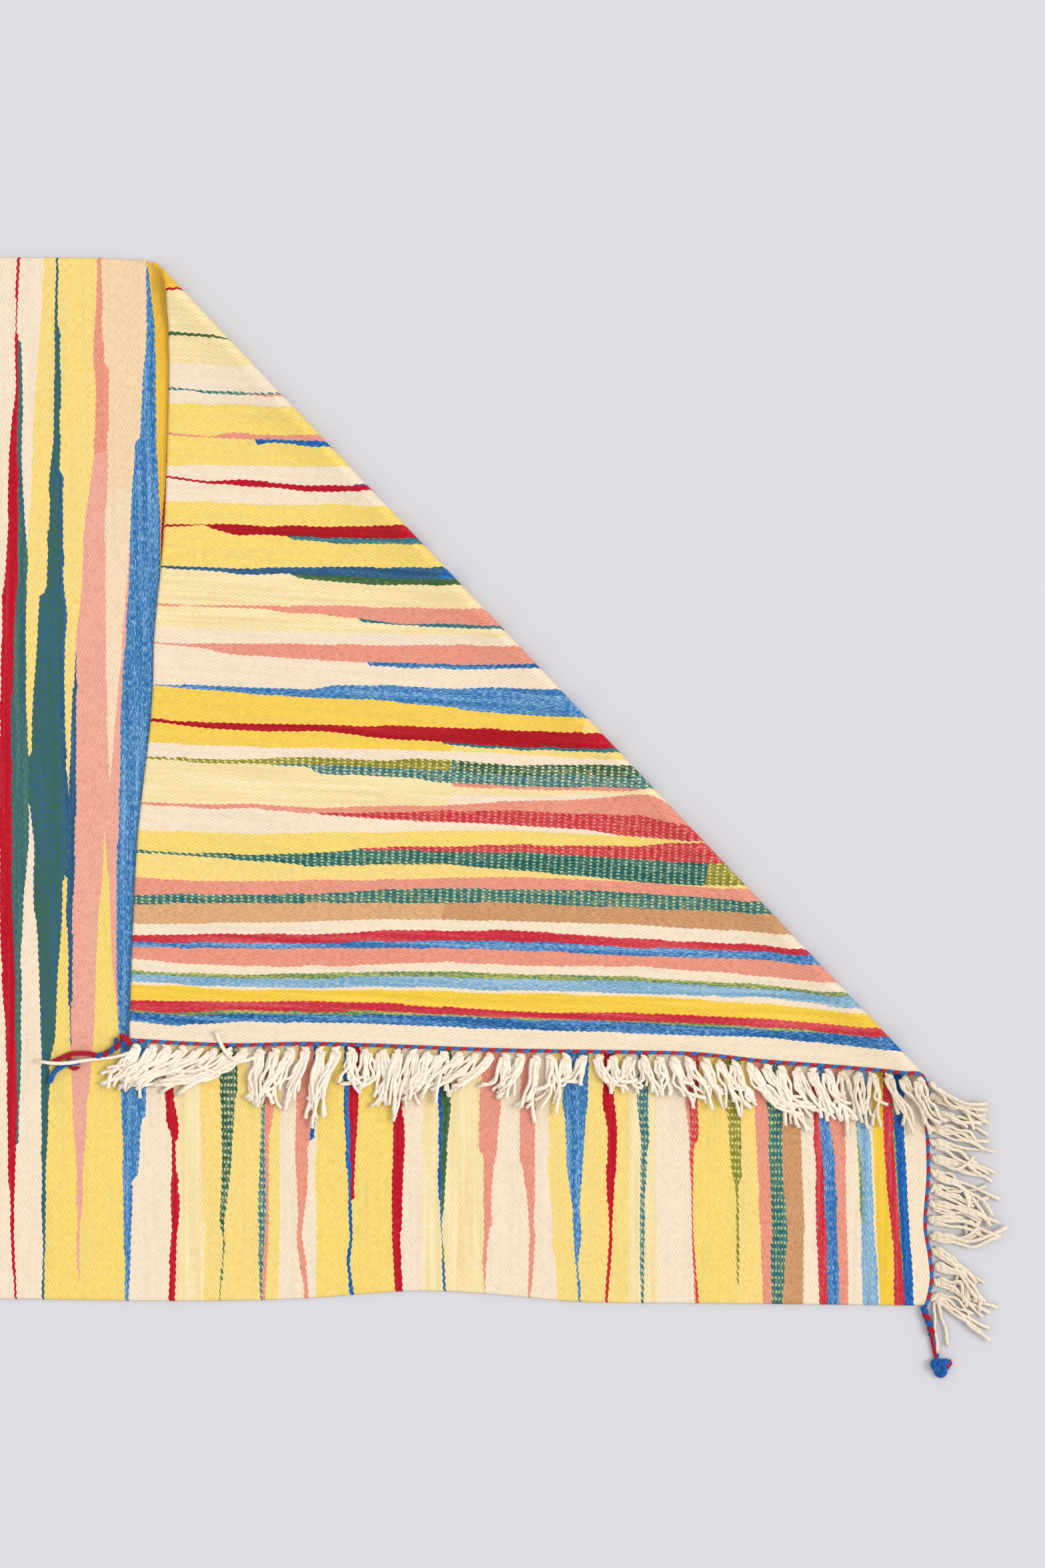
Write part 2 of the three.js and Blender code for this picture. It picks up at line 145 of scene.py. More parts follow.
# The dyed wools: the colour, a second colour flecked through it, and how much of it. A share over
# 1 is of a band woven with single picks of the second colour, which show as rows of dots.
dyes = {
    "cream": ((252, 233, 207), (247, 217, 179), 0.2),
    "beige": ((252, 227, 193), (243, 209, 167), 0.3),
    "tan": ((253, 222, 184), (243, 206, 156), 0.36),
    "pale_yellow": ((253, 227, 164), (253, 239, 202), 0.34),
    "yellow": ((255, 227, 142), (253, 207, 100), 0.3),
    "bright_yellow": ((253, 224, 128), (250, 208, 84), 0.3),
    "golden": ((252, 215, 96), (250, 199, 62), 0.3),
    "gold": ((251, 207, 64), (253, 223, 110), 0.28),
    "deep_gold": ((246, 192, 62), (250, 208, 98), 0.3),
    "salmon": ((244, 164, 141), (226, 131, 107), 0.34),
    "pink": ((246, 180, 160), (234, 150, 130), 0.3),
    "crimson": ((208, 44, 61), (236, 126, 122), 0.22),
    "rose_dots": ((206, 48, 59), (238, 147, 131), 1.25),
    "dark_red": ((194, 13, 39), (214, 64, 70), 0.2),
    "deep_red": ((177, 17, 32), (198, 54, 62), 0.2),
    "royal_blue": ((14, 86, 164), (74, 146, 212), 0.3),
    "bright_blue": ((42, 110, 181), (150, 194, 226), 0.38),
    "mid_blue": ((26, 94, 160), (138, 190, 228), 0.32),
    "sky_blue": ((44, 112, 176), (148, 196, 230), 0.36),
    "navy": ((46, 88, 122), (84, 132, 174), 0.26),
    "light_blue": ((115, 165, 202), (184, 211, 222), 0.4),
    "teal": ((44, 108, 124), (110, 164, 160), 0.3),
    "teal_dots": ((44, 112, 122), (214, 220, 174), 1.25),
    "sea_dots": ((29, 96, 92), (186, 210, 168), 1.18),
    "shot_blue": ((57, 100, 116), (86, 132, 104), 0.4),
    "shot_green": ((66, 108, 81), (44, 98, 150), 0.38),
    "dark_green": ((60, 98, 60), (124, 150, 96), 0.26),
    "green_dots": ((46, 93, 66), (228, 228, 180), 1.2),
    "olive_dots": ((134, 131, 46), (240, 226, 132), 1.24),
    "moss": ((80, 126, 96), (212, 208, 104), 0.42),
    "yellow_dots": ((38, 108, 112), (208, 214, 148), 1.2),
    "brown": ((218, 165, 119), (192, 134, 90), 0.36),
    "light_brown": ((232, 184, 136), (208, 150, 104), 0.36),
}

# The bands in order from the left: the wool, and rows of {v: where its right edge lies}. A band
# that starts or ends within the cloth has rows only there.
bands = (
    ("cream", {400: -98.6, 350: -100, 300: -99.3, 250: -104.3, 200: -105, 150: -108, 140: -110,
        100: -110, 50: -111.4, 0: -112, -100: -112, -150: -110, -200: -106.7, -300: -105,
        -350: -103, -400: -100.7}),
    ("dark_red", {400: -95.7, 350: -98, 300: -97.4, 250: -98, 200: -97, 150: -98, 140: -99.5,
        100: -101, 50: -102.6, -100: -102, -150: -100.2, -200: -99.5, -250: -98, -300: -99.3,
        -350: -100.7, -400: -98.8}),
    ("shot_blue", {337: -95.5, 295: -94, 250: -95, 200: -93, 165: -90, 150: -91, 100: -92,
        50: -91.2, 17: -89, -20: -89.3, -50: -89.5, -100: -93.6, -150: -95.5, -200: -95, -250: -97,
        -280: -97.6}),
    ("cream", {400: -78, 350: -79.8, 300: -84.5, 250: -86.4, 200: -89.3, 170: -90.5}),
    ("yellow", {400: -68.3, 350: -69.8, 260: -70, 230: -73.3, 200: -74, 150: -76, 143: -76.5,
        142: -81, 125: -82, 100: -83.6, 50: -86, 17: -88}),
    ("cream", {-20: -88.3, -50: -85.2, -100: -85.2, -110: -83, -150: -82, -200: -79.8, -300: -79.3,
        -400: -78.8}),
    ("shot_green", {400: -66.2, 350: -67.9, 340: -65.2, 260: -65, 235: -66, 200: -65.6, 150: -65.6,
        125: -62.5, 100: -64.4, 50: -65, 0: -62.8, -50: -59.7, -75: -62.6, -100: -63.8, -150: -67.4,
        -200: -69.3, -220: -74, -250: -74, -300: -76.4, -400: -77.4}),
    ("navy", {235: -63, 200: -62.6, 150: -62.6, 125: -59.5, 100: -61.4, 50: -62, 0: -59.8,
        -50: -56.7}),
    ("yellow", {400: -36.4, 350: -38.8, 330: -40, 300: -38, 250: -39.3, 200: -46.4, 150: -48.8,
        100: -53.6, 50: -56, 0: -58, -17: -58.5}),
    ("bright_yellow", {-75: -60, -100: -60.7, -150: -59, -200: -58, -250: -56, -300: -52.6,
        -350: -52.6, -400: -51}),
    ("navy", {97: -52.6, 50: -52.6, 0: -53, -50: -53.6, -100: -55.5, -150: -56.4, -205: -56.4}),
    ("salmon", {400: -34, 350: -32.9, 330: -31.7, 318: -31.5, 316: -28, 300: -27.9, 250: -28.8}),
    ("pink", {250: -28.8, 200: -30.5, 150: -31.2, 100: -29.8, 50: -29.8, 0: -27.8, -5: -27.5,
        -40: -32, -75: -33, -100: -36, -150: -38.3, -200: -39.3, -250: -44.8, -300: -47, -345: -50,
        -400: -50.2}),
    ("tan", {400: 0.3, 370: 1.7, 350: 1.2, 320: -0.7, 300: -2, 262: -3.6, 257: -7.9, 222: -9.8}),
    ("beige", {222: -9.8, 200: -10.7, 150: -13.8, 100: -17.9, 50: -22.6, -5: -27.4}),
    ("bright_yellow", {-40: -31.5, -75: -28, -100: -27.4, -150: -25, -200: -20, -250: -18.6,
        -300: -17, -400: -15.5}),
    ("pink", {180: -11.5, 150: -12, 100: -15.5, 50: -18.6, 0: -19.8, -100: -22, -150: -22,
        -195: -20.5}),
    ("sky_blue", {393: 2, 370: 4.5, 350: 6.9, 320: 8.3, 257: 8.3, 230: 9.8, 200: 11.7, 150: 11,
        100: 8.8, 50: 6, 0: 5, -100: 3, -200: 1.5, -250: 0.5, -260: 0, -262: -3, -300: -5.5,
        -306: -6, -308: -10, -350: -10.7, -400: -12.6}),
    ("deep_gold", {400: 30.4, 385: 30.4, 300: 21, 250: 17, 190: 12, 100: 11.2}),
    ("cream", {99: 11.2, -225: 15.5, -245: 15.5, -262: 16.3, -276: 20, -330: 20, -350: 20.6,
        -375: 18.5, -400: 17.8}),
    ("dark_red", {400: 32.6, 385: 32.6, 300: 24, 250: 20, 190: 14, 95: 14, -225: 19.5, -245: 22,
        -262: 25.6, -276: 25.5, -278: 23, -300: 23.5, -310: 25.7, -330: 26, -350: 24.3, -375: 23.5,
        -400: 22.6}),
    ("pale_yellow", {400: 33, 350: 36, -250: 42, -330: 44.6, -350: 46, -400: 44.6}),
    ("pale_yellow", {400: 64, 360: 64, 350: 65, 345: 67, 60: 62}),
    ("yellow", {60: 62, -240: 57, -250: 58, -300: 59.3, -340: 57.6, -350: 59.8, -400: 57}),
    ("dark_green", {400: 67, 385: 67, 360: 66, 350: 67, 345: 68.5, 60: 69.4}),
    ("green_dots", {60: 69.4, -240: 70.6, -250: 68.5, -300: 65.6, -340: 61, -350: 61, -400: 58}),
    ("pale_yellow", {400: 88, 385: 88, 60: 83.3}),
    ("yellow", {60: 83.3, -260: 78, -400: 78}),
    ("cream", {400: 106, 385: 106, 350: 108, 300: 106, -240: 89.3}),
    ("yellow", {-240: 89.3, -260: 88.7, -330: 87, -370: 87, -400: 89}),
    ("teal_dots", {400: 108, 385: 108, 350: 110, 300: 108, -260: 91.3, -330: 92.4, -370: 90,
        -400: 90.4}),
    ("salmon", {320: 109, 300: 109.5, -230: 100, -250: 100, -262: 98, -275: 94.6, -300: 95.2,
        -350: 94.6, -400: 92.4}),
    ("yellow", {-200: 105, -230: 104, -400: 102.6}),
    ("cream", {400: 119, 350: 118, 300: 116.3, -250: 116.2, -285: 115, -300: 116.2, -335: 117.4,
        -350: 116.2, -375: 118.4, -390: 121.5, -400: 121}),
    ("bright_yellow", {400: 141.7, 385: 141.7, 350: 142.4, 335: 139, 300: 138.5, 270: 137.4,
        0: 126.4}),
    ("yellow", {0: 126.4, -250: 116.3, -285: 115, -300: 116.3, -335: 117.5, -350: 116.3,
        -375: 118.5, -390: 121.7, -400: 122}),
    ("salmon", {400: 142.8, 385: 142.8, 350: 144, 335: 144, 300: 142.4, 270: 141.7, -250: 128.3,
        -276: 127, -285: 125, -300: 125.6, -335: 121.7, -350: 119.6, -375: 124, -390: 125.6,
        -400: 126}),
    ("royal_blue", {316: 147, 300: 145, 265: 145.6, -230: 131.5, -250: 131.5, -276: 130}),
    ("cream", {-100: 138, -250: 132, -300: 131, -400: 131}),
    ("bright_yellow", {400: 167, 385: 167, 350: 165, 300: 162.6, 250: 160.4, -255: 152, -300: 154.8,
        -350: 157, -370: 154.3, -400: 158}),
    ("cream", {400: 174, 385: 174, 350: 177.6, 325: 174.6, 300: 175, 272: 175.7, 250: 174,
        240: 173.5, 222: 172, 100: 168}),
    ("royal_blue", {240: 174.2, 222: 174, -255: 156, -265: 157, -300: 157.8, -350: 159.3, -370: 157,
        -400: 161}),
    ("dark_red", {400: 176.5, 383: 176.5, 350: 179.3, 335: 178.5, 325: 179.3, 300: 179, 272: 181,
        250: 179.5, 222: 176, -242: 164, -265: 162.6, -300: 161.3, -322: 160.4}),
    ("cream", {400: 194.6, 385: 194.6, 350: 193, 300: 192.4, 250: 189, 222: 189, 0: 177,
        -240: 165}),
    ("bright_yellow", {400: 212, 380: 212, 350: 209.8, 325: 209, 300: 209.8, 288: 207.6, 250: 206,
        225: 204.3, 200: 202.6, -240: 191, -255: 191, -262: 190, -280: 190, -350: 189.6,
        -400: 192.4}),
    ("deep_red", {400: 213.7, 380: 213.7, 350: 211, 345: 212.6, 325: 217, 300: 215.7, 288: 216.3,
        250: 215, 225: 214, 200: 212.6}),
    ("dark_red", {200: 212.6, -240: 196.7, -255: 196.7, -262: 199, -280: 199.6, -300: 198.3,
        -350: 196.3, -400: 197.4}),
    ("teal", {285: 218.3, 250: 219, 200: 217, 100: 214}),
    ("cream", {0: 214, -250: 213, -400: 213}),
    ("bright_yellow", {400: 244, 380: 244, 320: 243, 300: 240, 275: 238.7, 200: 234.8, 165: 232.6}),
    ("pale_yellow", {165: 232.6, -245: 225, -262: 226, -300: 225, -345: 226.7, -400: 229.3}),
    ("navy", {400: 245.2, 380: 245.2, 343: 245.6, 320: 247.8, 300: 245.2, 275: 244.6, 200: 243.5,
        165: 241}),
    ("royal_blue", {165: 241, -245: 227.5, -262: 228.5, -300: 227, -345: 227.2, -400: 230}),
    ("dark_green", {280: 246, 275: 247.4, 220: 249, 165: 246, -245: 234.8, -262: 233.7, -300: 230.4,
        -345: 228, -400: 230.9}),
    ("pale_yellow", {400: 273.5, 380: 273.5, 350: 272.2, 300: 270.2, 280: 269, 250: 267, 200: 265.7,
        150: 263.5}),
    ("pale_yellow", {150: 263.5, -235: 257.6, -250: 256.5, -285: 256.5, -290: 260.4, -340: 260,
        -350: 261, -375: 258.7, -400: 260.4}),
    ("salmon", {400: 274.3, 380: 274.3, 350: 273.5, 300: 272.8, 280: 275, 250: 274.3, 215: 277,
        200: 277.8, 150: 276, -235: 272.8, -250: 272.8, -285: 269.6, -290: 269, -300: 267,
        -340: 266, -350: 264.6, -375: 260.9, -400: 262}),
    ("teal", {228: 278, 200: 279.4, 150: 278, 0: 277}),
    ("pale_yellow", {400: 290, 300: 290, 200: 286, 150: 284, 0: 280}),
    ("cream", {400: 302.6, 380: 302.6, 350: 302, 325: 300, 275: 297.8, 200: 295.2, 150: 291.3,
        100: 290, -240: 288, -293: 288, -300: 290.9, -350: 295, -400: 294}),
    ("salmon", {400: 304.3, 380: 304.3, 350: 305.4, 325: 308.7, 275: 309.8, 200: 308.3, 150: 307,
        100: 303, -240: 299.6, -293: 299, -350: 299, -400: 296}),
    ("mid_blue", {220: 311.5, 150: 310.5, 100: 306.5, 0: 304}),
    ("cream", {400: 334.7, 380: 334.7, 260: 332, 240: 327, 200: 325.8, 150: 325.3, 115: 321.7,
        75: 321, 60: 323, 0: 318, -250: 310.4, -300: 309.8, -350: 313, -400: 316.3}),
    ("yellow", {60: 323, -225: 321.7, -250: 320, -262: 322.4, -300: 323.5, -330: 328, -350: 329.3,
        -372: 330.4, -400: 332}),
    ("sky_blue", {400: 336, 380: 336, 350: 337, 315: 338, 260: 338, 240: 337.8, 200: 337, 187: 339,
        150: 340.3, 115: 342.5, 60: 341.7, -225: 340.2, -250: 339.8, -262: 338, -300: 335.2,
        -330: 333.7, -350: 335.4, -372: 332.6, -400: 334.3}),
    ("golden", {400: 361.4, 382: 361.4, 340: 362, 300: 361, 250: 359, 225: 357.8, 200: 356.4,
        150: 355, 100: 354.4, 50: 352.8}),
    ("yellow", {50: 352.8, -228: 352, -250: 351.7, -270: 354.8, -300: 354.3, -350: 355.9,
        -400: 353.3}),
    ("deep_red", {400: 363.3, 382: 363.3, 340: 366, 300: 366, 250: 364, 225: 365.6, 200: 366.7,
        150: 367, 100: 367.5, 50: 364.7}),
    ("dark_red", {50: 364.7, -228: 360.4, -250: 360.2, -270: 362, -300: 361.3, -350: 358.7,
        -400: 355.4}),
    ("teal", {160: 368.5, 100: 369.5, 50: 367, -20: 366}),
    ("golden", {400: 380, 380: 380, 300: 378.6, 200: 374.4, 150: 373}),
    ("yellow", {150: 373, -250: 371, -400: 371}),
    ("cream", {400: 391, 380: 391, 320: 389, 262: 384, 250: 384, 200: 383.3, 180: 380.6, 150: 380.6,
        100: 381.4, 50: 377.8, 25: 375.8, -240: 377.8}),
    ("pale_yellow", {-240: 377.8, -250: 377.8, -280: 381.5, -300: 380.9, -350: 380.4, -400: 380.4}),
    ("olive_dots", {400: 392.5, 320: 392.5, 290: 391, 250: 389.5, 200: 389, 150: 388.5}),
    ("green_dots", {150: 388.5, 100: 389, 50: 386, 0: 384, -20: 383}),
    ("teal_dots", {290: 392.5, 262: 392, 250: 396, 180: 396, 150: 398, 100: 397.5, 50: 395.3,
        25: 393.3, -240: 385.9, -280: 386.5, -300: 384.3, -350: 383, -400: 382}),
    ("salmon", {150: 400, 100: 400, 25: 396, 0: 394}),
    ("pale_yellow", {400: 408, 100: 406, 0: 397, -250: 392.4, -300: 390.9, -350: 393, -400: 393.9}),
    ("pale_yellow", {400: 425.8, 380: 425.8, 333: 424, 300: 422, 290: 423, 250: 422.5, 200: 418.3,
        150: 414.7}),
    ("cream", {150: 414.7, 100: 408.3, 50: 405, 25: 401, 0: 396, -20: 405, -40: 419, -240: 414.6,
        -250: 414.6, -275: 417, -300: 418.5, -350: 420, -400: 422.2}),
    ("salmon", {400: 427.8, 380: 427.8, 333: 428, 300: 425.8, 250: 427, 200: 423, 150: 419,
        100: 416, 50: 416, 0: 414, -40: 421, -240: 417, -275: 418, -300: 418.8, -350: 420.3,
        -400: 422.6}),
    ("rose_dots", {250: 427.8, 200: 428.6, 150: 427.2, 100: 427, 50: 427, 25: 430, 0: 430.6,
        -40: 431, -240: 424.3, -250: 424.3, -275: 425.4, -283: 421.3, -300: 420.7, -350: 421.3,
        -400: 425}),
    ("cream", {400: 446.7, 380: 446.7, 300: 445.8, 250: 441, 200: 438.9, 150: 434, 100: 431.4,
        0: 431, -42: 431}),
    ("bright_yellow", {400: 462.8, 385: 462.8, 335: 462, 300: 461, 258: 457.8, 225: 453.6, 215: 451,
        150: 446.7, 100: 442, 50: 440.6, 0: 437.8, -20: 434, -50: 432, -240: 443.5, -250: 445.7,
        -300: 450.4, -312: 453, -350: 454.3, -387: 455, -400: 455}),
    ("rose_dots", {215: 453, 150: 450, 100: 448, 0: 448, -20: 448, -50: 446.7, -240: 444.6,
        -268: 446.8}),
    ("sea_dots", {400: 464.4, 385: 464.4, 335: 465.6, 300: 465.6, 258: 467.5, 225: 464.7,
        200: 463.3, 150: 460, 100: 462, 50: 463.3, 0: 465.6, -50: 464.7}),
    ("olive_dots", {-50: 464.7, -240: 456.5, -250: 456.5, -300: 458.3, -312: 456, -350: 456,
        -387: 456}),
    ("yellow", {400: 484, 350: 484, 300: 481.4, 250: 477.8, 200: 475, 150: 470.3, 100: 467.5,
        50: 465.6, -50: 465.6, -240: 467.4, -250: 467.4, -300: 470, -350: 472.2, -400: 473.9}),
    ("salmon", {400: 497, 385: 496.9, 350: 494, 300: 491.7, 250: 488.3, 200: 482.4, 150: 479,
        100: 476.7, 50: 474.4, -50: 473.9, -250: 477.5, -300: 479.3, -350: 480.9, -400: 480.9}),
    ("yellow_dots", {400: 504.4, 385: 504.4, 350: 501.4, 300: 498, 250: 495.3, 200: 492.5, 150: 490,
        100: 486.3, 50: 486, 0: 485.3, -100: 483.5, -250: 488.5, -300: 489.5, -350: 492.8,
        -400: 489.3}),
    ("light_brown", {400: 518.9, 385: 518.9, 300: 513.9, 250: 510, 200: 505.6, 150: 502.8}),
    ("brown", {150: 502.8, 100: 500.8, 0: 498, -100: 498.6, -250: 503.3, -300: 504.3, -350: 506,
        -400: 505.4}),
    ("cream", {400: 527.8, 385: 527.8, 350: 525, 300: 522.2, 250: 519.4, 200: 514, 150: 511,
        100: 508.3, 50: 507.8, 0: 509, -100: 507.9, -250: 512, -300: 514.8, -350: 515.7,
        -400: 517.4}),
    ("crimson", {400: 533.3, 385: 533.3, 350: 531.6, 300: 529, 250: 526.4, 200: 522.2, 150: 518.9,
        100: 516, 50: 515.6, 0: 515.8, -100: 512.5, -250: 517, -257: 517.4, -300: 520.7,
        -350: 522.8, -400: 523.5}),
    ("bright_blue", {400: 537.4, 385: 537.4, 350: 536, 300: 533.3, 250: 530.4, 200: 527.5,
        150: 524.4, 100: 523, 50: 522.2, 0: 521.7, -100: 519.3, -250: 524, -257: 524, -300: 530.2,
        -350: 531.5, -400: 532.6}),
    ("salmon", {400: 546, 385: 546, 350: 547.2, 300: 547.2, 250: 543.9, 200: 540.6, 150: 535,
        100: 534.2, 50: 533.3, 0: 530, -100: 531.8, -255: 536, -300: 538, -350: 539, -400: 540.2}),
    ("cream", {400: 555, 385: 555, 300: 553.6, 250: 550, 200: 545.3, 150: 542.5, 100: 541,
        50: 539.7, 0: 538, -100: 538.5, -265: 545.5, -300: 547.8, -350: 549.5, -400: 551}),
    ("moss", {400: 557.8, 385: 557.8, 300: 556.4, 250: 553.6, 200: 549.4, 150: 546.7, 100: 545.3,
        50: 543.3, 0: 541.7, -100: 541.4, -265: 546.7, -300: 549.6, -340: 551}),
    ("light_blue", {400: 563.9, 385: 563.9, 300: 563.3, 250: 561, 200: 557.2, 150: 555, 100: 554.4,
        50: 552.2, 0: 550.8, -100: 548.6, -265: 556.5, -300: 557.6, -350: 559.8, -400: 563}),
    ("cream", {400: 565.6, 385: 565.6, 300: 564.7, 250: 562, 200: 559.2, 100: 556.4, 50: 554.4,
        0: 552.8, -100: 553.2, -265: 558.5, -300: 559.8, -350: 562, -400: 564}),
    ("gold", {400: 577.6, 385: 577.5, 350: 576.9, 300: 573.9, 250: 571, 200: 568.9, 100: 570.2,
        50: 568.3, 0: 565.6, -100: 565, -265: 567, -300: 568.5, -350: 573.7, -400: 575}),
    ("crimson", {400: 585, 385: 585, 350: 585.6, 300: 580.6, 250: 578.6, 200: 575.8, 100: 575,
        50: 573.9, 0: 571.7, -100: 571, -265: 574, -300: 576, -350: 579.3, -400: 582.6}),
    ("moss", {400: 587, 385: 587, 350: 587.8, 300: 583.3, 250: 581.4, 200: 578.6, 150: 576.7,
        100: 575.8, 50: 574.4, 0: 573, -100: 572.9, -200: 573, -270: 575.6, -300: 577.2,
        -350: 580.4, -400: 583.7}),
    ("mid_blue", {400: 593.9, 385: 593.9, 350: 595.3, 300: 588.9, 250: 587.8, 200: 585.6, 150: 585,
        100: 584, 50: 582.2, 0: 581.4, -100: 579.3, -200: 583}),
    ("royal_blue", {-200: 583, -270: 582.6, -300: 584.8, -350: 587, -400: 590.2}),
)

# The far end, beyond what is seen, woven in the same way: the wool and each band's width
far_bands = (
    ("cream", 1.3), ("cream", 3.7), ("royal_blue", 8), ("moss", 2.5), ("crimson", 7), ("gold", 12),
    ("light_blue", 7), ("cream", 12), ("salmon", 9), ("crimson", 5), ("cream", 14),
    ("brown", 9), ("teal_dots", 7), ("salmon", 12), ("yellow", 22), ("crimson", 4),
    ("cream", 38), ("pale_yellow", 20), ("mid_blue", 10), ("cream", 26), ("yellow", 27),
    ("dark_red", 3), ("cream", 42), ("salmon", 9), ("pale_yellow", 25), ("dark_green", 4),
    ("bright_yellow", 28), ("cream", 40), ("mid_blue", 8), ("salmon", 10), ("cream", 34),
)
far_wander = 2.6
far_wave = 41
far_shift = 1.7

cloth_retreat = 1.35
end_rim = 1.3
stagger = 0.4
ragged = 0.6
shortest_run, longest_run = 3, 11
roll_cut = roll_radius * math.radians(12.5)
fall_cut = 6.2
selvedge_round = 0.9
shortest_edge = 0.02
on_the_edge = 0.05

chance = random.Random(7)


def band_edge(rows, v):
    """A band's right edge at v, or None where the band isn't woven."""
    places = sorted(rows.items())
    (low, first), (high, last) = places[0], places[-1]
    if (v < low and low > -selvedge) or (v > high and high < selvedge):
        return None
    if v <= low:
        return first
    for (a, at_a), (b, at_b) in zip(places, places[1:]):
        if v <= b:
            return at_a + (at_b - at_a) * (v - a) / (b - a)
    return last


def warp_edges():
    """For each warp line, where every band ends along it. The weaver turns back a few warps
    early or late, so an edge goes in short runs, with a small step between them."""
    lines = []
    runs = [(0, 0.0)] * len(bands)
    for i in range(warps + 1):
        step = stagger * (-1) ** i
        left = edge_place(left_cord_line, warp_place(i, far_end)) + cloth_retreat
        edges, reach = [left], left
        for k, (_, width) in enumerate(far_bands):
            reach += width
            wander = far_wander * math.sin(i / far_wave + far_shift * k) + step
            edges.append(max(edges[-1], reach + wander))
        for k, (_, rows) in enumerate(bands):
            left_over, offset = runs[k]
            if left_over == 0:
                left_over = chance.randint(shortest_run, longest_run)
                offset = chance.uniform(-ragged, ragged)
            runs[k] = (left_over - 1, offset)
            place = edges[-1]
            # Twice, because a warp's own place shifts a little with how far along it the band ends
            for _ in range(2):
                found = band_edge(rows, warp_place(i, place))
                place = edges[-1] if found is None else found
            if found is not None:
                place += step + offset
            edges.append(max(edges[-1], place))
        end = edge_place(right_cord_line, warp_place(i, near_end)) - cloth_retreat
        edges.append(max(end - end_rim, edges[-1]))
        edges.append(max(end, edges[-1]))
        lines.append(edges)
    return lines


studio_light = 1.35


def put(name, data):
    """A new object in the scene."""
    thing = bpy.data.objects.new(name, data)
    bpy.context.collection.objects.link(thing)
    return thing


def put_mesh(name, bm):
    """The shape that is in bm, as a new object."""
    mesh = bpy.data.meshes.new(name)
    bm.to_mesh(mesh)
    bm.free()
    return put(name, mesh)


def wool_colour(shade, share=1.0):
    """A colour of the photograph, 0 to 255, as the wool's own colour under the studio light."""
    tones = [tone / 255 for tone in shade]
    tones = [((t + 0.055) / 1.055) ** 2.4 if t > 0.04045 else t / 12.92 for t in tones]
    return (*(t / studio_light for t in tones), share)


band_wools = [wool for wool, _ in far_bands] + [wool for wool, _ in bands]
band_wools += ["cream", "cream"]
edges = warp_edges()
bm = bmesh.new()
dye_layer = bm.loops.layers.float_color.new("dye")
fleck_layer = bm.loops.layers.float_color.new("fleck")
weave_layer = bm.loops.layers.uv.new("weave")
columns = len(band_wools)
woven = bmesh.ops.create_grid(bm, x_segments=columns, y_segments=warps, size=1)["verts"]
crossing = {
    vert: (round((vert.co.x + 1) / 2 * columns), round((vert.co.y + 1) / 2 * warps))
    for vert in woven
}
for vert, (k, i) in crossing.items():
    u = edges[i][k]
    vert.co = (u, warp_place(i, u), 0)
for face in bm.faces:
    colour, fleck, share = dyes[band_wools[min(crossing[vert][0] for vert in face.verts)]]
    for loop in face.loops:
        loop[dye_layer] = wool_colour(colour)
        loop[fleck_layer] = wool_colour(fleck, share)
        loop[weave_layer].uv = (loop.vert.co.x * mm, crossing[loop.vert][1] * warp_pitch * mm)
bmesh.ops.remove_doubles(bm, verts=bm.verts, dist=shortest_edge)

roll_cuts = round((roll_end - roll_start) / roll_cut)
fall_cuts = round((fall_end - roll_end) / fall_cut)
cuts = [roll_start + (roll_end - roll_start) * i / roll_cuts for i in range(roll_cuts)]
cuts += [roll_end + (fall_end - roll_end) * i / fall_cuts for i in range(fall_cuts + 1)]
for cut in cuts:
    bmesh.ops.bisect_plane(
        bm,
        geom=[*bm.verts, *bm.edges, *bm.faces],
        plane_co=(*(across * cut), 0),
        plane_no=(*across, 0),
    )
bmesh.ops.solidify(bm, geom=bm.faces[:], thickness=thickness)
bmesh.ops.translate(bm, verts=bm.verts, vec=(0, 0, thickness))

# The edges are rounded, as yarn that turns back round the last warp
walls = [
    edge for edge in bm.edges
    if abs(edge.verts[0].co.z - edge.verts[1].co.z) > thickness - on_the_edge
]
bmesh.ops.subdivide_edges(bm, edges=walls, cuts=1)
for vert in bm.verts:
    u, v, h = vert.co
    if abs(h - half_thickness) > half_thickness / 2:
        if abs(v - edge_place(front_selvedge, u)) < on_the_edge:
            vert.co.y += selvedge_round
        elif abs(v - edge_place(back_selvedge, u)) < on_the_edge:
            vert.co.y -= selvedge_round
for vert in bm.verts:
    vert.co = lay(*vert.co)
bmesh.ops.recalc_face_normals(bm, faces=bm.faces)
cloth = put_mesh("woven_cloth", bm)
cloth.data.shade_smooth()


def finish(name, roughness, sheen):
    """A wool finish: a matt shader with a soft sheen. Gives its node tree and its shader."""
    material = bpy.data.materials.new(name)
    material.use_nodes = True
    tree = material.node_tree
    shader = tree.nodes["Principled BSDF"]
    shader.inputs["Roughness"].default_value = roughness
    shader.inputs["Specular IOR Level"].default_value = 0.08
    shader.inputs["Sheen Weight"].default_value = sheen
    shader.inputs["Sheen Roughness"].default_value = 0.6
    return material, tree, shader


def add_node(tree, kind, links=(), **settings):
    """One node, with its settings, and with links of (its input, another node's output)."""
    node = tree.nodes.new(kind)
    for name, value in settings.items():
        setattr(node, name, value)
    for socket, source in dict(links).items():
        if isinstance(source, bpy.types.NodeSocket):
            tree.links.new(source, node.inputs[socket])
        else:
            node.inputs[socket].default_value = source
    return node


def calc(tree, operation, *terms):
    """The output of one Math node, worked out from sockets or numbers."""
    return add_node(tree, "ShaderNodeMath", enumerate(terms), operation=operation).outputs[0]


def blend_of(tree, mode, amount, a, b):
    """The output of one colour Mix node."""
    links = {0: amount, 6: a, 7: b}
    return add_node(
        tree, "ShaderNodeMix", links, data_type="RGBA", blend_type=mode
    ).outputs[2]


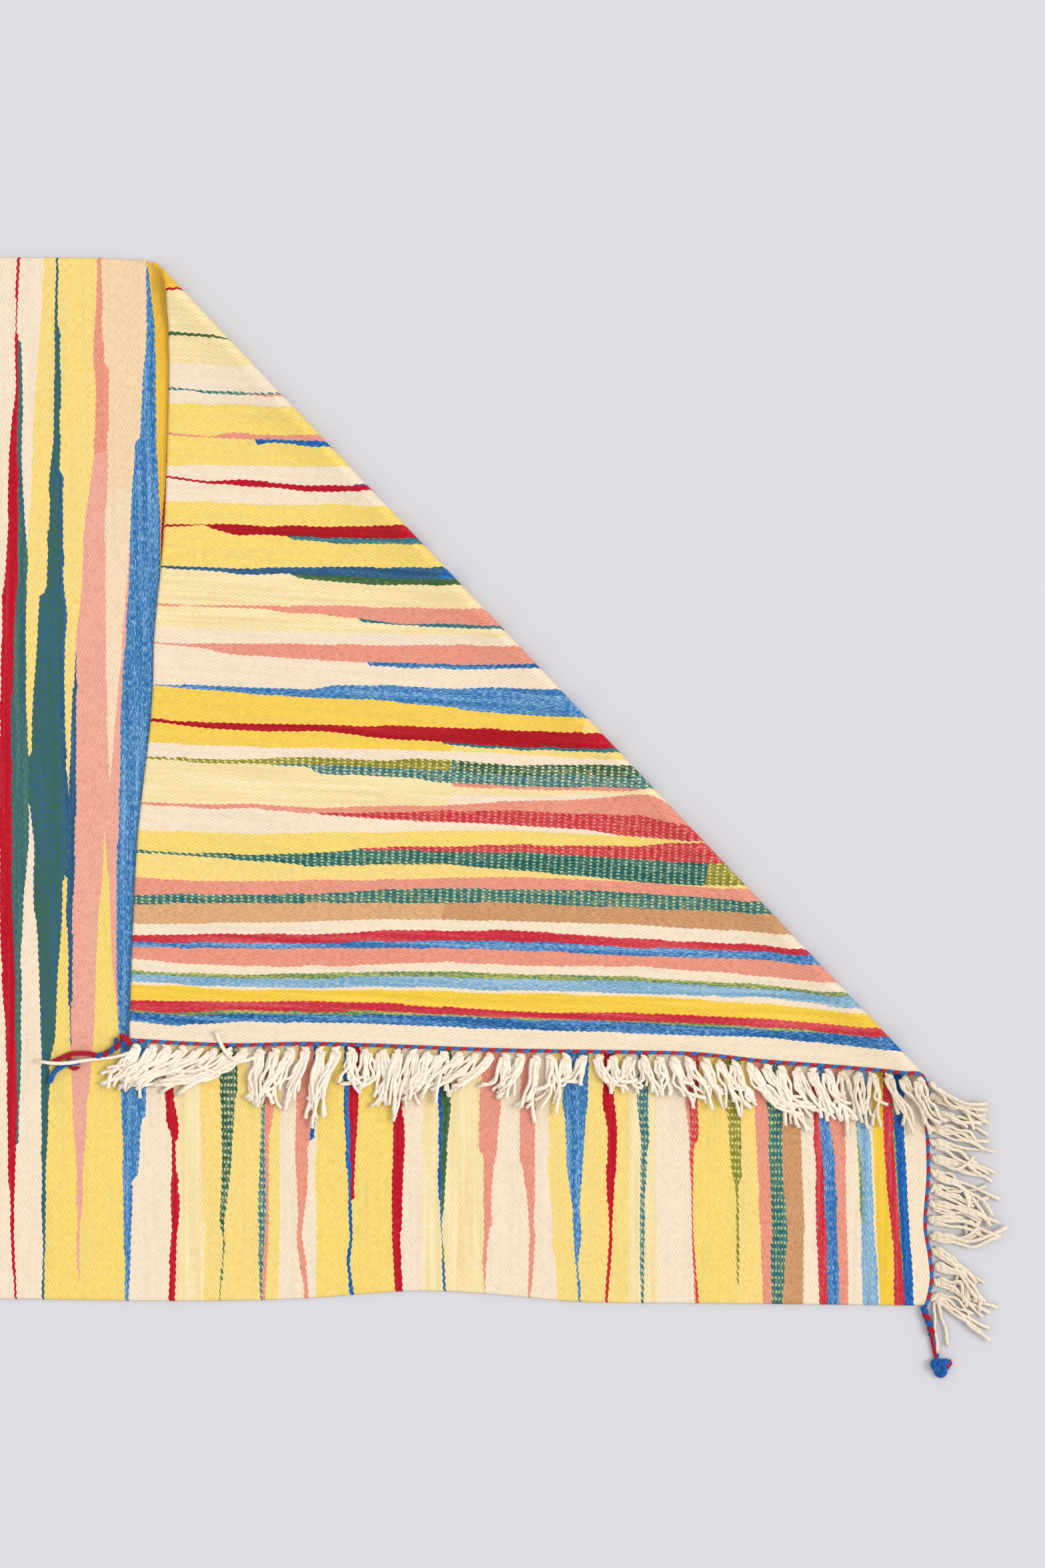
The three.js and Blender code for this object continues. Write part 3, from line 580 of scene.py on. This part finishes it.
def noise(tree, place, scale, detail, roughness=0.5):
    """Smooth noise from 0 to 1."""
    links = {"Vector": place, "Scale": scale, "Detail": detail, "Roughness": roughness}
    return add_node(tree, "ShaderNodeTexNoise", links).outputs[0]


def streaks_of(tree, place, along, over, roughness=0.5):
    """Noise drawn out into streaks, with the scale along the rug and the scale over it."""
    links = {"Vector": place, "Scale": (along, over, 1.0)}
    drawn = add_node(tree, "ShaderNodeMapping", links).outputs[0]
    return noise(tree, drawn, 1.0, 3.0, roughness)


def carry(tree, value, *ends):
    """A value carried from between the first two ends to between the last two, and kept there."""
    return add_node(tree, "ShaderNodeMapRange", enumerate((value, *ends))).outputs[0]


def dress(tree, shader, colour, relief, strength):
    """Gives a shader its colour and its relief."""
    tree.links.new(colour, shader.inputs["Base Color"])
    links = {"Height": relief, "Strength": strength, "Distance": 0.0005}
    bump = add_node(tree, "ShaderNodeBump", links)
    tree.links.new(bump.outputs[0], shader.inputs["Normal"])


def weave_finish():
    """The wool of the cloth, worked out from each place's row of warps and bead of weft."""
    material, tree, shader = finish("woven_wool", 0.92, 0.05)
    place = add_node(tree, "ShaderNodeUVMap", uv_map="weave").outputs[0]
    axes = add_node(tree, "ShaderNodeSeparateXYZ", {0: place})
    u, v = axes.outputs[0], axes.outputs[1]
    drift = calc(tree, "MULTIPLY_ADD", noise(tree, place, 45.0, 1.0), 1.2, -0.6)
    sway = calc(tree, "MULTIPLY_ADD", noise(tree, place, 190.0, 1.0), 0.7, -0.35)
    rows = calc(tree, "ADD", calc(tree, "DIVIDE", v, warp_pitch * mm), sway)
    row = calc(tree, "FLOOR", rows)
    in_row = calc(tree, "FRACT", rows)
    odd = calc(tree, "MODULO", row, 2.0)
    beads = calc(tree, "DIVIDE", u, bead_pitch * mm)
    beads = calc(tree, "ADD", beads, calc(tree, "MULTIPLY_ADD", odd, 0.5, drift))
    bead = calc(tree, "FLOOR", beads)
    in_bead = calc(tree, "FRACT", beads)
    identity = add_node(tree, "ShaderNodeCombineXYZ", {0: bead, 1: row}).outputs[0]
    lot = add_node(
        tree, "ShaderNodeTexWhiteNoise", {"Vector": identity}, noise_dimensions="2D"
    )

    # Flecks: fibres of the second colour run through the yarn, whole beads take some of it, and
    # in a band with dots every other row of warps shows the single picks of the second colour
    dye = add_node(tree, "ShaderNodeAttribute", attribute_name="dye")
    fleck = add_node(tree, "ShaderNodeAttribute", attribute_name="fleck")
    dotted = calc(tree, "GREATER_THAN", fleck.outputs["Alpha"], 1.0)
    share = calc(tree, "SUBTRACT", fleck.outputs["Alpha"], dotted)
    least = calc(tree, "MULTIPLY_ADD", share, -0.45, 0.66)
    streaks = calc(tree, "SUBTRACT", streaks_of(tree, place, 1150.0, 260.0, 0.65), least)
    streaks = carry(tree, streaks, -0.03, 0.13, 0.0, 0.85)
    picked = calc(tree, "LESS_THAN", lot.outputs["Value"], share)
    mixed = calc(tree, "MULTIPLY_ADD", picked, 0.12, streaks)
    rib = calc(tree, "SINE", calc(tree, "MULTIPLY", in_row, math.pi))
    pick = calc(tree, "SINE", calc(tree, "MULTIPLY", in_bead, math.pi))
    dots = calc(tree, "MULTIPLY", calc(tree, "POWER", pick, 3.0), rib)
    dots = calc(tree, "MULTIPLY", dots, calc(tree, "MULTIPLY", odd, dotted))
    patchy = calc(tree, "MULTIPLY_ADD", noise(tree, place, 420.0, 2.0), 3.2, -0.4)
    dots = calc(tree, "MULTIPLY", dots, patchy)

    # Abrash, the slow change of shade from one hank of yarn to the next, which comes in long
    # thin streaks along the wefts, some of them nearer the second colour
    abrash = streaks_of(tree, place, 260.0, 9.0)
    shade = carry(tree, abrash, 0.25, 0.75, 0.9, 1.07)
    lean = calc(tree, "MULTIPLY_ADD", abrash, 1.5, -0.75)
    lean = calc(tree, "MULTIPLY", lean, calc(tree, "MULTIPLY_ADD", dotted, -0.7, 1.0))
    mixed = calc(tree, "ADD", calc(tree, "ADD", mixed, dots), lean)
    mixed = calc(tree, "MAXIMUM", calc(tree, "MINIMUM", mixed, 1.0), 0.0)
    colour = blend_of(tree, "MIX", mixed, dye.outputs["Color"], fleck.outputs["Color"])
    own = calc(tree, "MULTIPLY_ADD", lot.outputs["Value"], 0.06, 0.97)

    # Relief: soft ribs along the warps, with a small hollow where each bead dips to the next. The
    # colour follows it too, as painted shade in the hollows and between the ribs
    dip = calc(tree, "ABSOLUTE", calc(tree, "COSINE", calc(tree, "MULTIPLY", in_bead, math.pi)))
    hollow = calc(tree, "MULTIPLY", calc(tree, "POWER", dip, 7.0), calc(tree, "POWER", rib, 3.0))
    relief = calc(tree, "MULTIPLY_ADD", rib, 0.28, 0.72)
    relief = calc(tree, "MULTIPLY_ADD", hollow, -0.65, relief)
    relief = calc(tree, "MULTIPLY_ADD", streaks_of(tree, place, 3200.0, 900.0), 0.7, relief)
    # Painted shade and light: the colour is darkened down to 0.72 where the relief is low, in the
    # hollows and between the ribs, and lightened up to 1.09 on the bead tops
    groove_shade = carry(tree, relief, 0.45, 1.45, 0.72, 1.09)
    shade = calc(tree, "MULTIPLY", calc(tree, "MULTIPLY", shade, own), groove_shade)
    tone = add_node(tree, "ShaderNodeCombineColor", {0: shade, 1: shade, 2: shade}).outputs[0]
    dress(tree, shader, blend_of(tree, "MULTIPLY", 1.0, colour, tone), relief, 0.35)
    return material


cloth.data.materials.append(weave_finish())
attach(cloth, "root")
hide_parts("kilim_cloth")

# The twined end cords
# At each end two thick wool strands, one red and one blue, are twined round each other through
# the warps, and close the weave. On top they show as slanted beads, red and blue by turns.
cord_period = 10.75
strand_radius = 1.12
strand_swell = 0.36
strand_sway = 0.5
strand_rise = 0.7
cord_lift = 0.1
cord_steps = 8
cord_sides = 7
weld = 1e-6


def strand(bm, twist_layer, centres, radii, sides):
    """A strand of yarn: a small sheet rolled up round the line of its centres."""
    steps = len(centres) - 1
    rolled = bmesh.ops.create_grid(bm, x_segments=steps, y_segments=sides, size=1)["verts"]
    station = {
        vert: (round((vert.co.x + 1) / 2 * steps), round((vert.co.y + 1) / 2 * sides))
        for vert in rolled
    }
    run = [0.0]
    for a, b in zip(centres, centres[1:]):
        run.append(run[-1] + (b - a).length)
    frames = []
    for i in range(steps + 1):
        heading = (centres[min(i + 2, steps)] - centres[max(i - 2, 0)]).normalized()
        side = heading.cross(Vector((0, 0, 1))).normalized()
        frames.append((side, side.cross(heading)))
    for vert, (i, j) in station.items():
        side, up = frames[i]
        angle = 2 * math.pi * j / sides
        vert.co = centres[i] + (side * math.cos(angle) + up * math.sin(angle)) * radii[i]
    for face in {face for vert in rolled for face in vert.link_faces}:
        for loop in face.loops:
            i, j = station[loop.vert]
            loop[twist_layer].uv = (j / sides, run[i])


def wool_object(name, bm, materials, slot, *nodes):
    """Closes the strands of one piece and puts it in place of its CAD nodes."""
    bmesh.ops.remove_doubles(bm, verts=bm.verts, dist=weld)
    bmesh.ops.recalc_face_normals(bm, faces=bm.faces)
    piece = put_mesh(name, bm)
    piece.data.shade_smooth()
    for material in materials:
        piece.data.materials.append(material)
    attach(piece, "root")
    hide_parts(*nodes)
    return piece


def yarn_finish(name, colour, painted_shade, ply, soft, sheen):
    """Plied yarn: its plies run round the strand at a slant, with painted shade, a second and
    darker colour, where they meet and in the fine fibre noise, and soft is how much of them shows
    through the loose fibres."""
    material, tree, shader = finish(name, 0.9, sheen)
    place = add_node(tree, "ShaderNodeUVMap", uv_map="twist").outputs[0]
    axes = add_node(tree, "ShaderNodeSeparateXYZ", {0: place})
    turns = calc(tree, "DIVIDE", axes.outputs[1], ply * mm)
    phase = calc(tree, "MULTIPLY_ADD", axes.outputs[0], 2.0, turns)
    plies = calc(tree, "SINE", calc(tree, "MULTIPLY", calc(tree, "FRACT", phase), math.pi))
    plies = calc(tree, "POWER", plies, 0.5)
    here = add_node(tree, "ShaderNodeTexCoord").outputs["Object"]
    relief = calc(tree, "MULTIPLY", plies, soft)
    relief = calc(tree, "MULTIPLY_ADD", noise(tree, here, 2400.0, 2.0), 0.8, relief)
    uneven = calc(tree, "MULTIPLY_ADD", noise(tree, here, 60.0, 2.0), 0.5, -0.22)
    # Painted shade: the colour goes towards the darker one where the relief is low; the slow noise
    # is the yarn's own uneven tone
    shade_and_tone = calc(tree, "ADD", carry(tree, relief, 0.3, 0.4 + soft, 1.0, 0.0), uneven)
    tone = blend_of(tree, "MIX", shade_and_tone, wool_colour(colour), wool_colour(painted_shade))
    dress(tree, shader, tone, relief, 0.5)
    return material


# Each yarn's second colour is its painted shade, laid between the plies
red_wool = yarn_finish("red_wool", (212, 34, 54), (150, 12, 32), 3.4, 0.6, 0.12)
blue_wool = yarn_finish("blue_wool", (44, 130, 208), (22, 84, 160), 3.4, 0.6, 0.12)


def twined(bm, twist_layer, path, length, phase, thick=1.0):
    """One strand of a two-strand twist along a path that is given a distance along it."""
    steps = round(length / cord_period * cord_steps)
    centres, radii = [], []
    for i in range(-1, steps + 2):
        at = length * min(max(i / steps, 0), 1)
        angle = phase - 2 * math.pi * at / cord_period
        sway, rise = strand_sway * math.cos(angle), strand_rise * math.sin(angle)
        centres.append(path(at, sway * thick, rise * thick))
        swell = (strand_radius + strand_swell * math.sin(angle)) * thick
        radii.append(swell * mm if 0 <= i <= steps else 0.0)
    strand(bm, twist_layer, centres, radii, cord_sides)


def end_cord(name, node, cord_line, start, end):
    """One end's cord, twined along its line from start to end, measured across the rug."""
    def path(at, sway, rise):
        v = start + at
        u = edge_place(cord_line, v)
        folded = (u * across.x + v * across.y - roll_start) / (roll_end - roll_start)
        face = 1 - 2 * min(max(folded, 0), 1)
        return lay(u + sway, v, half_thickness + (cord_lift + rise) * (1 if face > 0 else -1))

    bm = bmesh.new()
    twist_layer = bm.loops.layers.uv.new("twist")
    for colour in (0, 1):
        before = len(bm.faces)
        twined(bm, twist_layer, path, end - start, colour * math.pi)
        bm.faces.ensure_lookup_table()
        for face in bm.faces[before:]:
            face.material_index = colour
    return wool_object(name, bm, (red_wool, blue_wool), "cord", node)


right_cord = end_cord("twined_cord_right", "end_cord_right", right_cord_line, -405.5, 386.5)
left_cord = end_cord("twined_cord_left", "end_cord_left", left_cord_line, -401, 400)

# The knotted fringe
# The warps run on past each cord. A few at a time are tied in a small overhand knot hard
# against it, and the two-ply ends hang free, drawn together in loose tufts.
knot_pitch = 11.79
knot_back = 2.0
knot_depth = 5.4
yarn_radius = 1.42
yarn_steps = 12
yarn_sides = 5
knot_yarn_steps = 8
layer_rest = thickness + layer_gap
root_share = 0.7
root_height = 1.9
leave_reach = 16
# How far the yarns of a knot spread, as shares of the knots' distance: inside it, where they leave
# it, and at their tips
root_spread, leave_spread, tip_spread = 0.13, 0.2, 0.17
yarn_bed = 1.25 * yarn_radius
yarn_heights = (0, 0, 0.6, 1.6, 2.6)
hook_share = 0.24
fringe_start = -404

# One yarn, given twice: on the flap it is painted lighter, with tones above 255, as a painted
# highlight; on the floor, at the fold and at the far end it is painted darker and yellower, as
# painted shade
painted_lit_fringe = yarn_finish("painted_lit_fringe", (270, 259, 243), (248, 222, 182), 5.2, 0.32, 0.2)
painted_shaded_fringe = yarn_finish("painted_shaded_fringe", (258, 244, 222), (230, 204, 166), 5.2, 0.32, 0.2)

# Tufts in order along the edge: knots, lean along the edge, how far they draw together, reach
floor_tufts = ((1, -27, 1.2, 34), (1, -30, 1.0, 38), (2, -27, 0.6, 33), (5, -11, 0.42, 43),
               (3, -14, 0.7, 41), (2, -12, 0.8, 39))
fold_tufts = ((2, -20, 0.9, 30), (3, -5, 0.9, 33))
flap_tufts = ((3, -14, 0.8, 32), (3, -30, 0.75, 33), (2, -17, 0.8, 30), (3, -18, 0.9, 27),
              (2, -14, 0.9, 21), (3, -8, 0.8, 20), (2, 14, 0.9, 20), (2, -3, 0.7, 36),
              (2, 8, 0.9, 27), (3, 26, 0.75, 21), (2, 14, 0.8, 26), (3, 4, 0.8, 40),
              (2, -2, 1.2, 27), (2, 9, 0.8, 44), (2, 14, 0.8, 36), (2, 11, 0.8, 42),
              (4, 48, 0.85, 27), (2, 40, 0.8, 25), (2, 20, 0.9, 27))
left_tufts = ((6, -9, 0.75, 42), (9, 6, 0.7, 45), (8, -4, 0.68, 44), (10, 10, 0.75, 43),
              (9, -8, 0.75, 46), (8, 5, 0.7, 44), (10, -6, 0.72, 42), (7, 9, 0.75, 44))
# Two knots at the fold whose yarns are thrown out over the floor fringe and back over the cord
fold_tips = ((646, -257, 3.2), (641, -250, 3.2), (611, -264, 4.6), (602, -272, 4.6))


def bezier(start, leave, tip, t):
    """A place on the curve that leaves its start towards leave and ends at tip."""
    return start * (1 - t) ** 2 + leave * (2 * t * (1 - t)) + tip * t * t


def yarn(bm, twist_layer, root, leave, tip, rest, curl, luck):
    """One free warp end, from inside its knot to its tip, with the crimp of the weave left in."""
    crimp, phase = luck.uniform(0.5, 1.7) * mm, luck.uniform(0, 6.3)
    waves = luck.uniform(0.9, 2.3)
    hump = max(0, luck.gauss(1.2, 1.4)) * mm
    hook = luck.choice((-1, 1)) * luck.uniform(4, 9) if luck.random() < hook_share else 0
    radius = yarn_radius * luck.uniform(0.85, 1.15) * mm
    centres, radii = [], []
    for i in range(yarn_steps + 1):
        t = min(max(i - 1, 0), yarn_steps - 2) / (yarn_steps - 2)
        centre = bezier(root, leave, tip, t * (0.9 if hook else 1))
        heading = (leave - root).lerp(tip - leave, t)
        side = Vector((-heading.y, heading.x, 0)).normalized()
        centre += side * crimp * math.sin(phase + waves * 2 * math.pi * t) * min(1, 3 * t)
        centre += side * mm * (curl * t * t * math.sin(math.pi * (0.2 + t)) + hook * t ** 4)
        centre.z = rest + (root.z - rest) * (1 - t) ** 2
        centre.z += 2.2 * hump * t * (1 - t) + 0.4 * crimp * (1 + math.sin(2 * phase + 9 * t)) * t
        centres.append(centre)
        swell = 1 + 0.1 * math.sin(phase + 11 * t) + 0.15 * max(0, t - 0.85) / 0.15
        radii.append(radius * swell if 0 < i < yarn_steps else 0.0)
    strand(bm, twist_layer, centres, radii, yarn_sides)


def knot(bm, twist_layer, at, luck):
    """An overhand knot: a small uneven ball with a turn or two of yarn over it."""
    wide, deep, high = luck.uniform(2.8, 3.7), luck.uniform(2.4, 3.3), luck.uniform(1.7, 2.3)
    skew, shift = luck.uniform(-0.35, 0.35), luck.uniform(-0.6, 0.6)
    ball = bmesh.ops.create_uvsphere(bm, u_segments=8, v_segments=5, radius=1)["verts"]
    for vert in ball:
        x, y, z = vert.co
        vert.co = at(shift + deep * (x + skew * y), wide * y, high * (1 + z))
    for offset in luck.choice(((0.1,), (-1.0, 0.9), (0.6,))):
        turn = luck.uniform(0.6, 1.9) * luck.choice((-1, 1))
        thick = luck.uniform(1.0, 1.35)
        centres, radii = [], []
        for i in range(knot_yarn_steps + 1):
            angle = math.pi * (min(max(i - 0.5, 0), 7) / 7)
            around = (math.cos(angle) * wide * 0.86, high + math.sin(angle) * high * 0.72)
            centres.append(at(shift + offset + turn * math.cos(angle), *around))
            radii.append(0.0 if i in (0, knot_yarn_steps) else thick * mm)
        strand(bm, twist_layer, centres, radii, yarn_sides)


def fringe(name, node, wool, cord_line, side, turned, start, tufts, rest, seed, thrown=(),
           strays=(), yarns_per_knot=5):
    """One stretch of fringe along a cord: its row of knots, the yarns tied in them, which reach
    out to the side given, and the few yarns that lie apart."""
    luck = random.Random(seed)
    apart = [4 * k / (yarns_per_knot - 1) - 2 for k in range(yarns_per_knot)]
    yarns = []
    bm = bmesh.new()
    twist_layer = bm.loops.layers.uv.new("twist")
    ground, up = (thickness, -1) if turned else (0, 1)

    def place(v, out, h):
        return lay(edge_place(cord_line, v) + side * (knot_back + out), v, ground + up * h)

    def tie(v):
        off = luck.uniform(-1.3, 1.3)
        knot(bm, twist_layer, lambda x, y, z: place(v + off + y, knot_depth / 2 + x, z), luck)

    def hang(v, off, tip, over, curl):
        spread = off * knot_pitch
        root = place(v + root_spread * spread, knot_depth * root_share, root_height)
        swerve = luck.gauss(0, 3)
        straight = place(v + leave_spread * spread + swerve, knot_depth + leave_reach, root_height)
        leave = root.lerp(tip, 0.5).lerp(straight, 0.6)
        level = (over + yarn_bed + luck.choice(yarn_heights)) * mm
        yarns.append((root, leave, tip, level, curl))

    v = start + knot_pitch / 2
    for i in range(0, len(thrown), 2):
        for k, off in enumerate(apart):
            x, y, over = thrown[i + k % 2]
            tip = Vector((x + luck.uniform(-4, 4), y + luck.uniform(-4, 4), 0)) * mm
            hang(v, off, tip, over, luck.gauss(0, 3))
        tie(v)
        v += knot_pitch
    for knots, lean, gather, reach in tufts:
        middle = v + (knots - 1) * knot_pitch / 2
        for _ in range(knots):
            tie(v)
            toss, curl = luck.gauss(0, 4), luck.gauss(0, 6)
            for off in apart:
                own_v = v + tip_spread * off * knot_pitch
                shift = lean + (own_v - middle) * (gather - 1) + toss
                stretch = luck.gauss(1, 0.13)
                tip_v = own_v + shift * stretch + luck.gauss(0, 4)
                tip_u = edge_place(cord_line, own_v) + side * (
                    knot_back + knot_depth + reach * stretch * luck.uniform(0.75, 1.1)
                )
                tip = Vector((tip_u, tip_v, 0)) * mm
                if turned:
                    tip = lay(tip_u, tip_v, half_thickness)
                hang(v, off, tip, rest, curl + luck.gauss(0, 4))
            v += knot_pitch
    for at, leave, tip, over in strays:
        root = place(at, knot_depth * root_share, root_height)
        yarns.append((root, Vector((*leave, 0)) * mm, Vector((*tip, 0)) * mm, over * mm, 0))
    for root, leave, tip, level, curl in yarns:
        yarn(bm, twist_layer, root, leave, tip, level, curl, luck)
    return wool_object(name, bm, (wool,), "fringe", node)


def knots_in(tufts):
    """How many knots some tufts take."""
    return sum(tuft[0] for tuft in tufts)


fold_start = fringe_start + knots_in(floor_tufts) * knot_pitch
flap_start = fold_start + (2 + knots_in(fold_tufts)) * knot_pitch
left_start = fringe_start + knot_pitch / 2
# Yarns that lie apart: two hang beside the front corner's tail, one is thrown back over the cord
# and one lies out over the turned corner's tail
floor_strays = ((-402, (605, -420), (609, -441), 1.7), (-398, (613, -416), (617, -436), 2.2))
flap_strays = ((281, (66, -227), (53, -194), 7.9), (377, (-38, -221), (-82, -216.5), 7.6),
               (150, (214, -240), (196, -252), 6.2))
fringes = [
    fringe("fringe_on_floor", "fringe_right_floor", painted_shaded_fringe, right_cord_line, 1, False,
           fringe_start, floor_tufts, 0, 11, strays=floor_strays),
    fringe("fringe_at_fold", "fringe_right_fold", painted_shaded_fringe, right_cord_line, 1, True,
           fold_start, fold_tufts, layer_rest, 12, fold_tips),
    fringe("fringe_on_flap", "fringe_right_flap", painted_lit_fringe, right_cord_line, 1, True,
           flap_start, flap_tufts, layer_rest, 13, strays=flap_strays, yarns_per_knot=7),
    fringe("fringe_far_end", "fringe_left", painted_shaded_fringe, left_cord_line, -1, False,
           left_start, left_tufts, 0, 14),
]

# The cords' loose ends
# Where a cord stops at a corner its red and blue strands run on, twisted into a short tail. Most
# end in one fat knot, and at the turned corner the two strands part, with no knot.
tail_knot_yarn = 2.5
tail_knot_swing = 1.5
tail_knot_steps = 40
bare_step = 1.6


def along_path(points, rest):
    """A way to place a twist along a smooth line on the floor or the cloth, and its length."""
    def at(t):
        i = min(int(t), len(points) - 2)
        a, b = Vector(points[max(i - 1, 0)]), Vector(points[i])
        c, d = Vector(points[i + 1]), Vector(points[min(i + 2, len(points) - 1)])
        f = t - i
        return 0.5 * (
            2 * b + (c - a) * f + (2 * a - 5 * b + 4 * c - d) * f * f
            + (3 * b - a - 3 * c + d) * f ** 3
        )

    fine = 12 * (len(points) - 1)
    line = [at((len(points) - 1) * i / fine) for i in range(fine + 1)]
    run = [0.0]
    for a, b in zip(line, line[1:]):
        run.append(run[-1] + (b - a).length)

    def path(distance, sway, rise):
        i = min(max(sum(r <= distance for r in run) - 1, 0), fine - 1)
        f = (distance - run[i]) / (run[i + 1] - run[i])
        centre = line[i].lerp(line[i + 1], f)
        heading = (line[i + 1] - line[i]).normalized()
        return Vector((
            centre.x - heading.y * sway,
            centre.y + heading.x * sway,
            rest + strand_radius + strand_rise + rise,
        )) * mm

    return path, run[-1]


def tail_knot(bm, twist_layer, centre, size, rest):
    """A fat overhand knot, tied in the thick strand."""
    centres = []
    for i in range(tail_knot_steps + 1):
        t = 2 * math.pi * i / tail_knot_steps
        x = math.sin(t) + 2 * math.sin(2 * t)
        y = math.cos(t) - 2 * math.cos(2 * t)
        z = -math.sin(3 * t)
        centres.append(Vector((
            centre[0] + x * size / 3,
            centre[1] + y * size / 3,
            rest + tail_knot_yarn + 0.1 + tail_knot_swing * (1 + z),
        )) * mm)
    strand(bm, twist_layer, centres, [tail_knot_yarn * mm] * len(centres), 8)


def tail(name, node, points, rest, thick, knot_at=None, knot_size=6.0, colours=(0, 1), bare=()):
    """One tail: a twist along its points, a knot, and bare strands, given as rows of (colour,
    radius, points). Colour 0 is red and 1 is blue."""
    bm = bmesh.new()
    twist_layer = bm.loops.layers.uv.new("twist")

    def paint(before, colour):
        bm.faces.ensure_lookup_table()
        for face in bm.faces[before:]:
            face.material_index = colour

    path, length = along_path(points, rest + (strand_radius + strand_rise) * (thick - 1))
    for colour in colours:
        before = len(bm.faces)
        twined(bm, twist_layer, path, length, colour * math.pi, thick)
        paint(before, colour)
    if knot_at:
        before = len(bm.faces)
        tail_knot(bm, twist_layer, knot_at, knot_size, rest)
        paint(before, 1)
    for colour, radius, points in bare:
        before = len(bm.faces)
        path, length = along_path(points, rest)
        steps = max(round(length / bare_step), 6)
        centres = [path(length * i / steps, 0, radius - strand_radius) for i in range(steps + 1)]
        radii = [radius * mm] * (steps - 1)
        strand(bm, twist_layer, [centres[0], *centres[:-1], centres[-1]],
               [0.0, *radii, radius * 0.8 * mm, 0.0], 7)
        paint(before, colour)
    return wool_object(name, bm, (tail_red, tail_blue), "cord", node)


# The second colour of each tail yarn is its painted shade, laid between the plies
tail_red = yarn_finish("tail_red", (192, 24, 46), (122, 8, 26), 3.0, 0.7, 0.08)
tail_blue = yarn_finish("tail_blue", (28, 104, 184), (14, 62, 128), 3.0, 0.7, 0.08)
tails = [
    tail("tail_front_right", "tail_right_front",
         ((597.6, -405.4), (599.5, -412), (602.3, -419), (604, -427)), 0, 1.75,
         knot_at=(610.6, -451.5), knot_size=6.2,
         bare=((0, 1.5, ((603.4, -424), (604.5, -432), (606, -439), (607.6, -446))),
               (1, 1.3, ((605.2, -424), (605.2, -432), (607.8, -439), (608.6, -446))),
               (0, 2.8, ((610.5, -453.5), (614, -451.5), (617.2, -448.3), (618, -445.5))))),
    tail("tail_turned_blue", "tail_flap_blue",
         ((-13.3, -202), (-20, -204.5), (-27, -209.5), (-34, -212.5), (-40, -212.5)),
         layer_rest, 1.5,
         bare=((0, 2.7, ((-11, -204), (-14, -200.5), (-17.5, -197.5), (-19.5, -196))),
               (1, 1.6, ((-21.8, -199), (-22.5, -204), (-21.5, -209.5))),
               (0, 1.4, ((-57.5, -213.5), (-58.7, -219), (-54.5, -222.5), (-49.5, -221))),
               (1, 2.1, ((-49.5, -217.5), (-56, -218), (-63, -220.5), (-70, -226),
                         (-73, -234.5))))),
    tail("tail_turned_red", "tail_flap_red",
         ((-53.4, -210), (-58, -210.4)), layer_rest, 1.0, colours=(0,),
         bare=((0, 1.9, ((-38, -212), (-44, -210.8), (-56, -211.3), (-66, -215.3),
                         (-75, -219.5))),)),
    tail("tail_front_left", "tail_left_front",
         ((-601, -401.4), (-602, -417), (-605, -430), (-608, -440), (-612, -448)), 0, 1.4,
         knot_at=(-614, -451), knot_size=5.6),
    tail("tail_back_left", "tail_left_back",
         ((-600, 400.6), (-602.5, 413), (-607, 424), (-612, 434), (-615, 441)), 0, 1.4,
         knot_at=(-617, 444), knot_size=5.4),
]

# The studio
# A plain pale floor, an even sky and one broad soft lamp up and to the right, and a camera that
# looks straight down, far enough away that nothing leans.
floor_half = 4.0
view_centre = (0.2897, -0.0041)
view_height = 1.205
camera_lens = 100
sensor_height = 36
sky_strength = 0.98
lamp_height = 48
lamp_side = 5
lamp_spread = 28

bm = bmesh.new()
bmesh.ops.create_grid(bm, x_segments=1, y_segments=1, size=floor_half)
floor = put_mesh("floor", bm)
floor_paint = bpy.data.materials.new("floor_paint")
floor_paint.use_nodes = True
floor_shader = floor_paint.node_tree.nodes["Principled BSDF"]
floor_shader.inputs["Base Color"].default_value = wool_colour((223, 222, 227))
floor_shader.inputs["Roughness"].default_value = 0.9
floor_shader.inputs["Specular IOR Level"].default_value = 0.1
floor.data.materials.append(floor_paint)

world = bpy.data.worlds.new("studio")
bpy.context.scene.world = world
world.use_nodes = True
sky = world.node_tree.nodes["Background"]
sky.inputs["Color"].default_value = (1.0, 1.0, 1.0, 1.0)
sky.inputs["Strength"].default_value = sky_strength

lamp_data = bpy.data.lights.new("soft_lamp", "SUN")
lamp_data.angle = math.radians(lamp_spread)
lamp_data.energy = (studio_light - sky_strength) * math.pi / math.sin(math.radians(lamp_height))
lamp = put("soft_lamp", lamp_data)
lamp.rotation_euler = (0, math.radians(90 - lamp_height), math.radians(lamp_side))

camera_data = bpy.data.cameras.new("camera")
camera_data.sensor_fit = "VERTICAL"
camera_data.sensor_height = sensor_height
camera_data.lens = camera_lens
camera = put("camera", camera_data)
camera.location = (*view_centre, view_height * camera_lens / sensor_height)
bpy.context.scene.camera = camera
bpy.context.scene.view_settings.view_transform = "Standard"
